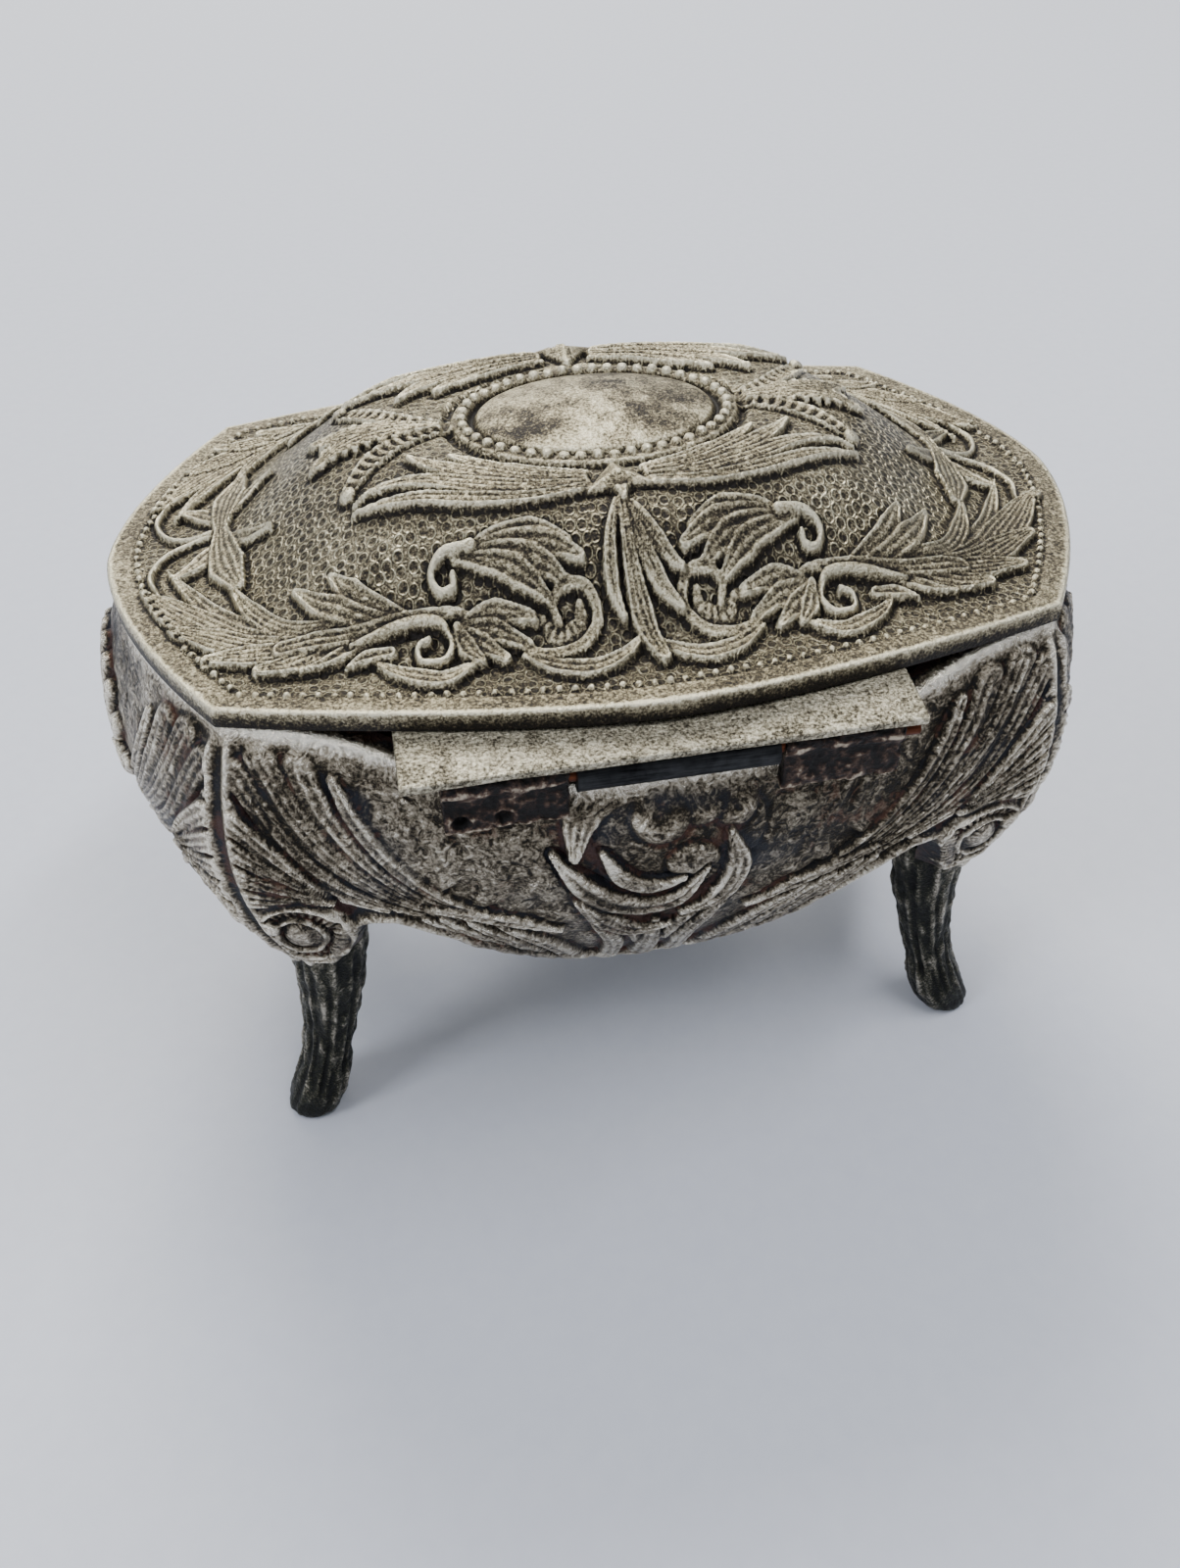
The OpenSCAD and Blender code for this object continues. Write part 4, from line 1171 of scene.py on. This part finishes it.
class CASKET_OT_hinge(bpy.types.Operator):
    """Model the flap plate and the two soldered lugs, and finish the knuckle and the pin"""

    bl_idname = "casket.hinge"
    bl_label = "Hinge"

    def execute(self, context):
        self.flap()
        for side in ("left", "right"):
            self.lug(side)
        iron = shared("Drawn steel tube, tarnished", drawn_metal, "#121314", "#38393a", 0.5, 0.25)
        copper = shared("Copper rod, drawn", drawn_metal, "#331a10", "#6b3f2c", 0.45, 0.3)
        sheet = shared("Old silver plate, sheet", drawn_metal, "#5d5a50", "#a19c8d", 0.42, 0.6)
        for node, material in (("hinge_knuckle", iron), ("hinge_pin", copper), ("floor_plate", sheet)):
            give(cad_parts[node], material)
        return {"FINISHED"}

    def flap(self):
        """Cube to the plate's size, edges bevelled, faces divided, then dented a little and tilted."""
        low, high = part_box("hinge_flap")
        slope = math.radians(FLAP_SLOPE)
        thick = FLAP_THICK * MM
        run = (high.y - low.y - thick * math.sin(slope)) / math.cos(slope)
        centre = (low + high) / 2
        clear_selection()
        bpy.ops.mesh.primitive_cube_add(size=1, location=centre, scale=(high.x - low.x, run, thick))
        flap = start_piece("hinge_flap_plate")
        bpy.ops.object.transform_apply(location=False, rotation=False, scale=True)
        bpy.ops.object.mode_set(mode="EDIT")
        bpy.ops.mesh.select_all(action="SELECT")
        bpy.ops.mesh.bevel(offset=0.00022, segments=2, affect="EDGES")
        bpy.ops.mesh.select_all(action="SELECT")
        bpy.ops.mesh.subdivide(number_cuts=9)
        bpy.ops.transform.rotate(value=slope, orient_axis="X", center_override=centre)
        bpy.ops.object.mode_set(mode="OBJECT")
        settle(flap, 30)
        co = vertices_of(flap)
        if co[np.argmax(co[:, 1]), 2] > co[np.argmin(co[:, 1]), 2]:
            raise RuntimeError("the flap leans the wrong way")
        roughen(flap, 0.004, 0.00022, 11)
        roughen(flap, 0.0012, 0.00008, 12)
        plate = shared("White-metal plate, rolled and left rough", grained_plate)
        place(flap, "lid", "flap_plate", plate, "hinge_flap")

    def lug(self, side):
        """Barrel and block joined, remeshed and eaten by scale; the right lug has two punched dimples."""
        low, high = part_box("hinge_lug_" + side)
        pin_low, pin_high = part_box("hinge_pin")
        axis = Vector((0, (pin_low.y + pin_high.y) / 2, (pin_low.z + pin_high.z) / 2))
        x = (low.x + high.x) / 2
        length = high.x - low.x
        barrel = high.z - axis.z
        clear_selection()
        bpy.ops.mesh.primitive_cylinder_add(
            vertices=40, radius=barrel, depth=length, location=(x, axis.y, axis.z),
            rotation=(0, math.pi / 2, 0))
        lug = start_piece("hinge_lug_block_" + side)
        # the block stops a little short of the barrel's axis and of its back
        top, back = axis.z - 0.4 * MM, high.y - 0.6 * MM
        bpy.ops.mesh.primitive_cube_add(
            size=1, location=(x, (low.y + back) / 2, (low.z + top) / 2),
            scale=(length, back - low.y, top - low.z))
        block = bpy.context.object
        clear_selection()
        block.select_set(True)
        lug.select_set(True)
        bpy.context.view_layer.objects.active = lug
        bpy.ops.object.join()
        bpy.ops.object.transform_apply(location=True, rotation=True, scale=True)
        for kind, settings in (("REMESH", {"mode": "VOXEL", "voxel_size": 0.00022}),
                               ("SMOOTH", {"factor": 0.5, "iterations": 6})):
            modifier = lug.modifiers.new(kind.title(), kind)
            for key, value in settings.items():
                setattr(modifier, key, value)
            bpy.ops.object.modifier_apply(modifier=modifier.name)
        self.eat_surface(lug, side, low.z)
        settle(lug, 60)
        strip = shared("Steel strip, soldered and pitted", pitted_iron)
        place(lug, "casket", "hinge_iron", strip, "hinge_lug_" + side)

    def eat_surface(self, lug, side, bottom):
        """Pits of two sizes all over, only inwards, and the dimples of a punch on the right lug."""
        co, normals = vertices_of(lug), vertices_of(lug, "normal")
        pits = 0.0005 * (lumps(co, 0.0011, 21) - 0.5) + 0.00025 * (lumps(co, 0.0005, 22) - 0.5)
        if side == "right":
            for x, rise in DIMPLES:
                gap = np.hypot(co[:, 0] - x * MM, co[:, 2] - bottom - rise * MM)
                facing = normals[:, 1] > 0.3
                ring = np.exp(-(((gap - 0.0011) / 0.0003) ** 2))
                hole = np.exp(-((gap / 0.0008) ** 2))
                pits = pits + np.where(facing, 0.00035 * ring - 0.0009 * hole, 0)
        move_vertices(lug, co + normals * pits[:, None])
        height = (co[:, 2] - bottom) / MM
        # painted highlights: a paler band along the lug's lower lip and another 5.4 mm up
        painted_lip_highlights = 0.35 * np.exp(-((height / 0.7) ** 2)) + 0.3 * np.exp(-(((height - 5.4) / 0.5) ** 2))
        paint_wear_and_light(lug, 0.5 + 900 * pits + painted_lip_highlights)


class CASKET_OT_lining(bpy.types.Operator):
    """Lay the velvet: four wall linings, the floor pad and the padded panel in the lid"""

    bl_idname = "casket.lining"
    bl_label = "Velvet lining"

    def execute(self, context):
        colour = context.scene.casket_finish.velvet_colour
        cloth = shared("Velvet on card", velvet, colour)
        for side in ("back", "front", "left", "right"):
            self.wall_lining(side, cloth)
        self.floor_pad(cloth)
        self.lid_panel(cloth)
        return {"FINISHED"}

    def wall_lining(self, side, cloth):
        """Card with velvet drawn over it: soft rolled top edge and a few slack ripples."""
        long_side = side in ("back", "front")
        step = 4
        nu, nv = step * (44 if long_side else 32), step * 14
        u, v = grid(nu, nv)
        gap, thick = 0.15, 1.0
        high, low = top_depth(side, u) + 1.0, FLOOR_DEPTH - gap
        depth = high + (low - high) * (v + 1) / 2
        ripple = Relief(u * (45 if long_side else 32), depth * 0.5)
        ripple.grain(4.5, 0.3, 31)
        ripple.grain(1.6, 0.1, 32)
        roll = 1 - np.sqrt(1 - np.clip(1 - (depth - high) / 0.8, 0, 1) ** 2)
        ends = smooth((1 - np.abs(u)) / 0.04)
        inset = WALL + gap + thick - 0.1 + (0.5 * ripple.heights() - 0.15) * ends - 0.75 * roll
        inner = wall_points(side, u, depth, inset)
        outer = wall_points(side, u, depth, WALL + gap)[::step, ::step]
        piece = shell_piece("velvet_lining_" + side, inner, outer, step, sharp=60)
        place(piece, "casket", "velvet", cloth, "lining_" + side)

    def cushion(self, name, outline, base, thick, crown, direction, seed):
        """Crowned closed pad over an outline: rolled edge, soft hollows, flat on its card."""
        step = 4
        u, v = grid(step * 40, step * 30)
        x, y = bowed(u, v, *outline)
        lap = Relief(x, y)
        lap.grain(9, 0.8, seed)
        lap.grain(3.5, 0.3, seed + 1)
        rim = np.minimum((1 - np.abs(u)) * outline[2], (1 - np.abs(v)) * outline[3])
        roll = np.sqrt(1 - np.clip(1 - rim / 1.6, 0, 1) ** 2)
        bulge = (1 - np.abs(u) ** 4) * (1 - np.abs(v) ** 4)
        height = 0.15 + (thick - 0.15) * roll * (0.86 + crown * bulge + 0.12 * lap.heights() * bulge)
        top = np.stack([x, y + CENTRE_Y, base + direction * height], -1)
        under = np.stack([x, y + CENTRE_Y, base + 0 * x], -1)[::step, ::step]
        return shell_piece(name, top, under, step, sharp=60)

    def floor_pad(self, cloth):
        """Pad on the floor plate, inside the wall linings."""
        low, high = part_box("floor_pad")
        corner_x, corner_y, mid_end, mid_long = body_line(np.float64(FLOOR_DEPTH), 3.6)
        outline = (float(corner_x), float(corner_y), float(mid_end), float(mid_long))
        thick = (high.z - low.z) / MM
        piece = self.cushion("velvet_floor_pad", outline, low.z / MM, thick, 0.25, 1, 41)
        place(piece, "casket", "velvet", cloth, "floor_pad")

    def lid_panel(self, cloth):
        """Padded panel in the lid, hanging from its hollow."""
        low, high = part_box("lid_pad")
        inset = 8.0
        corner = LID_CORNER * (1 - inset / CORNER_LEN)
        outline = (corner[0], corner[1], LID_MID_END - inset, LID_MID_LONG - inset)
        thick = (high.z - low.z) / MM
        piece = self.cushion("velvet_lid_panel", outline, high.z / MM, thick, 0.5, -1, 51)
        place(piece, "lid", "velvet", cloth, "lid_pad")


class CASKET_OT_stage(bpy.types.Operator):
    """Set the pale floor, the soft studio light and the camera"""

    bl_idname = "casket.stage"
    bl_label = "Stage"

    def execute(self, context):
        clear_selection()
        bpy.ops.mesh.primitive_plane_add(size=40, location=(0, 0, 0))
        floor = start_piece("studio_floor")
        # matt paper: even, pale and a little cool, with a faint cloudiness
        material, tree, shader, where = new_material("Matt paper sweep")
        fibre = noise(tree, where, 3, 4, 0.6)
        paper = ramp(tree, fibre, [(0.3, "#cdd0d9"), (0.7, "#d1d4dc")])
        connect(tree, shader, Base_Color=paper, Roughness=0.9)
        give(floor, material)
        # soft studio: bright above and on the box's front side, greyer low down behind its hinge
        world = bpy.data.worlds.new("Soft studio")
        world.use_nodes = True
        context.scene.world = world
        sky = world.node_tree
        background = sky.nodes["Background"]
        direction = add(sky, "ShaderNodeTexCoord").outputs["Generated"]
        parts = add(sky, "ShaderNodeSeparateXYZ", {"Vector": direction}).outputs
        facing = sums(sky, (parts["Z"], 0.42), (parts["Y"], -0.3), (parts["X"], 0.16), 0.42)
        glow = ramp(sky, facing, [(0.2, "#7d8086"), (0.5, "#a3a8b0"), (0.85, "#f4f7fd")])
        sky.links.new(glow, background.inputs["Color"])
        background.inputs["Strength"].default_value = 0.8
        self.lamp("key_softbox", (0.08, -1.6, 1.75), (1.1, 1.1), 59.0, "#fcf9f2")
        self.lamp("left_softbox", (1.2, 0.5, 0.9), (0.5, 0.9), 11.0, "#eef3fd")
        self.lamp("overhead_strip", (-0.5, 0.3, 1.3), (1.2, 0.15), 11.0, "#f7f9ff")
        self.camera(context)
        return {"FINISHED"}

    def lamp(self, name, spot, size, watts, colour):
        """Soft rectangular lamp aimed at the box."""
        data = bpy.data.lights.new(name, "AREA")
        data.shape = "RECTANGLE"
        data.size, data.size_y = size
        data.energy = watts
        data.color = linear(colour)[:3]
        lamp = bpy.data.objects.new(name, data)
        bpy.context.collection.objects.link(lamp)
        lamp.location = spot
        lamp.rotation_mode = "QUATERNION"
        aim = Vector((0, 0, 0.05)) - Vector(spot)
        lamp.rotation_quaternion = aim.to_track_quat("-Z", "Y")

    def camera(self, context):
        """Behind the box and above it, close in, rolled a little."""
        azimuth, elevation, roll = math.radians(169.931), math.radians(41.138), math.radians(-1.203)
        back = Vector((math.sin(azimuth) * math.cos(elevation), -math.cos(azimuth) * math.cos(elevation),
                       math.sin(elevation)))
        right = Vector((0, 0, 1)).cross(back).normalized()
        up = back.cross(right)
        c, s = math.cos(roll), math.sin(roll)
        turned_right, turned_up = c * right + s * up, c * up - s * right
        data = bpy.data.cameras.new("camera")
        data.lens, data.sensor_width = 29.25, 36
        data.clip_start, data.clip_end = 0.005, 50
        camera = bpy.data.objects.new("camera", data)
        bpy.context.collection.objects.link(camera)
        turn = Matrix((turned_right, turned_up, back)).transposed()
        camera.matrix_world = Matrix.Translation((0.02579, 0.13623, 0.14864)) @ turn.to_4x4()
        context.scene.camera = camera


STEPS = (CASKET_OT_lid, CASKET_OT_walls, CASKET_OT_legs, CASKET_OT_hinge, CASKET_OT_lining, CASKET_OT_stage)


class CASKET_PT_panel(bpy.types.Panel):
    """Lists the pieces, their sizes and their finishes"""

    bl_idname = "CASKET_PT_panel"
    bl_label = "Trinket Box"
    bl_space_type = "VIEW_3D"
    bl_region_type = "UI"
    bl_category = "Trinket Box"

    def draw(self, context):
        layout = self.layout
        for group in (context.scene.casket_sizes, context.scene.casket_finish):
            for key in group.bl_rna.properties.keys():
                if key not in ("rna_type", "name"):
                    layout.prop(group, key)
        for step in STEPS:
            layout.operator(step.bl_idname)


CLASSES = (CasketSizes, CasketFinish, *STEPS, CASKET_PT_panel)


def register():
    for kind in CLASSES:
        bpy.utils.register_class(kind)
    bpy.types.Scene.casket_sizes = bpy.props.PointerProperty(type=CasketSizes)
    bpy.types.Scene.casket_finish = bpy.props.PointerProperty(type=CasketFinish)


def unregister():
    del bpy.types.Scene.casket_sizes
    del bpy.types.Scene.casket_finish
    for kind in reversed(CLASSES):
        bpy.utils.unregister_class(kind)


def main():
    register()
    bpy.ops.casket.lid()
    bpy.ops.casket.walls()
    bpy.ops.casket.legs()
    bpy.ops.casket.hinge()
    bpy.ops.casket.lining()
    bpy.ops.casket.stage()


if __name__ == "__main__":
    main()
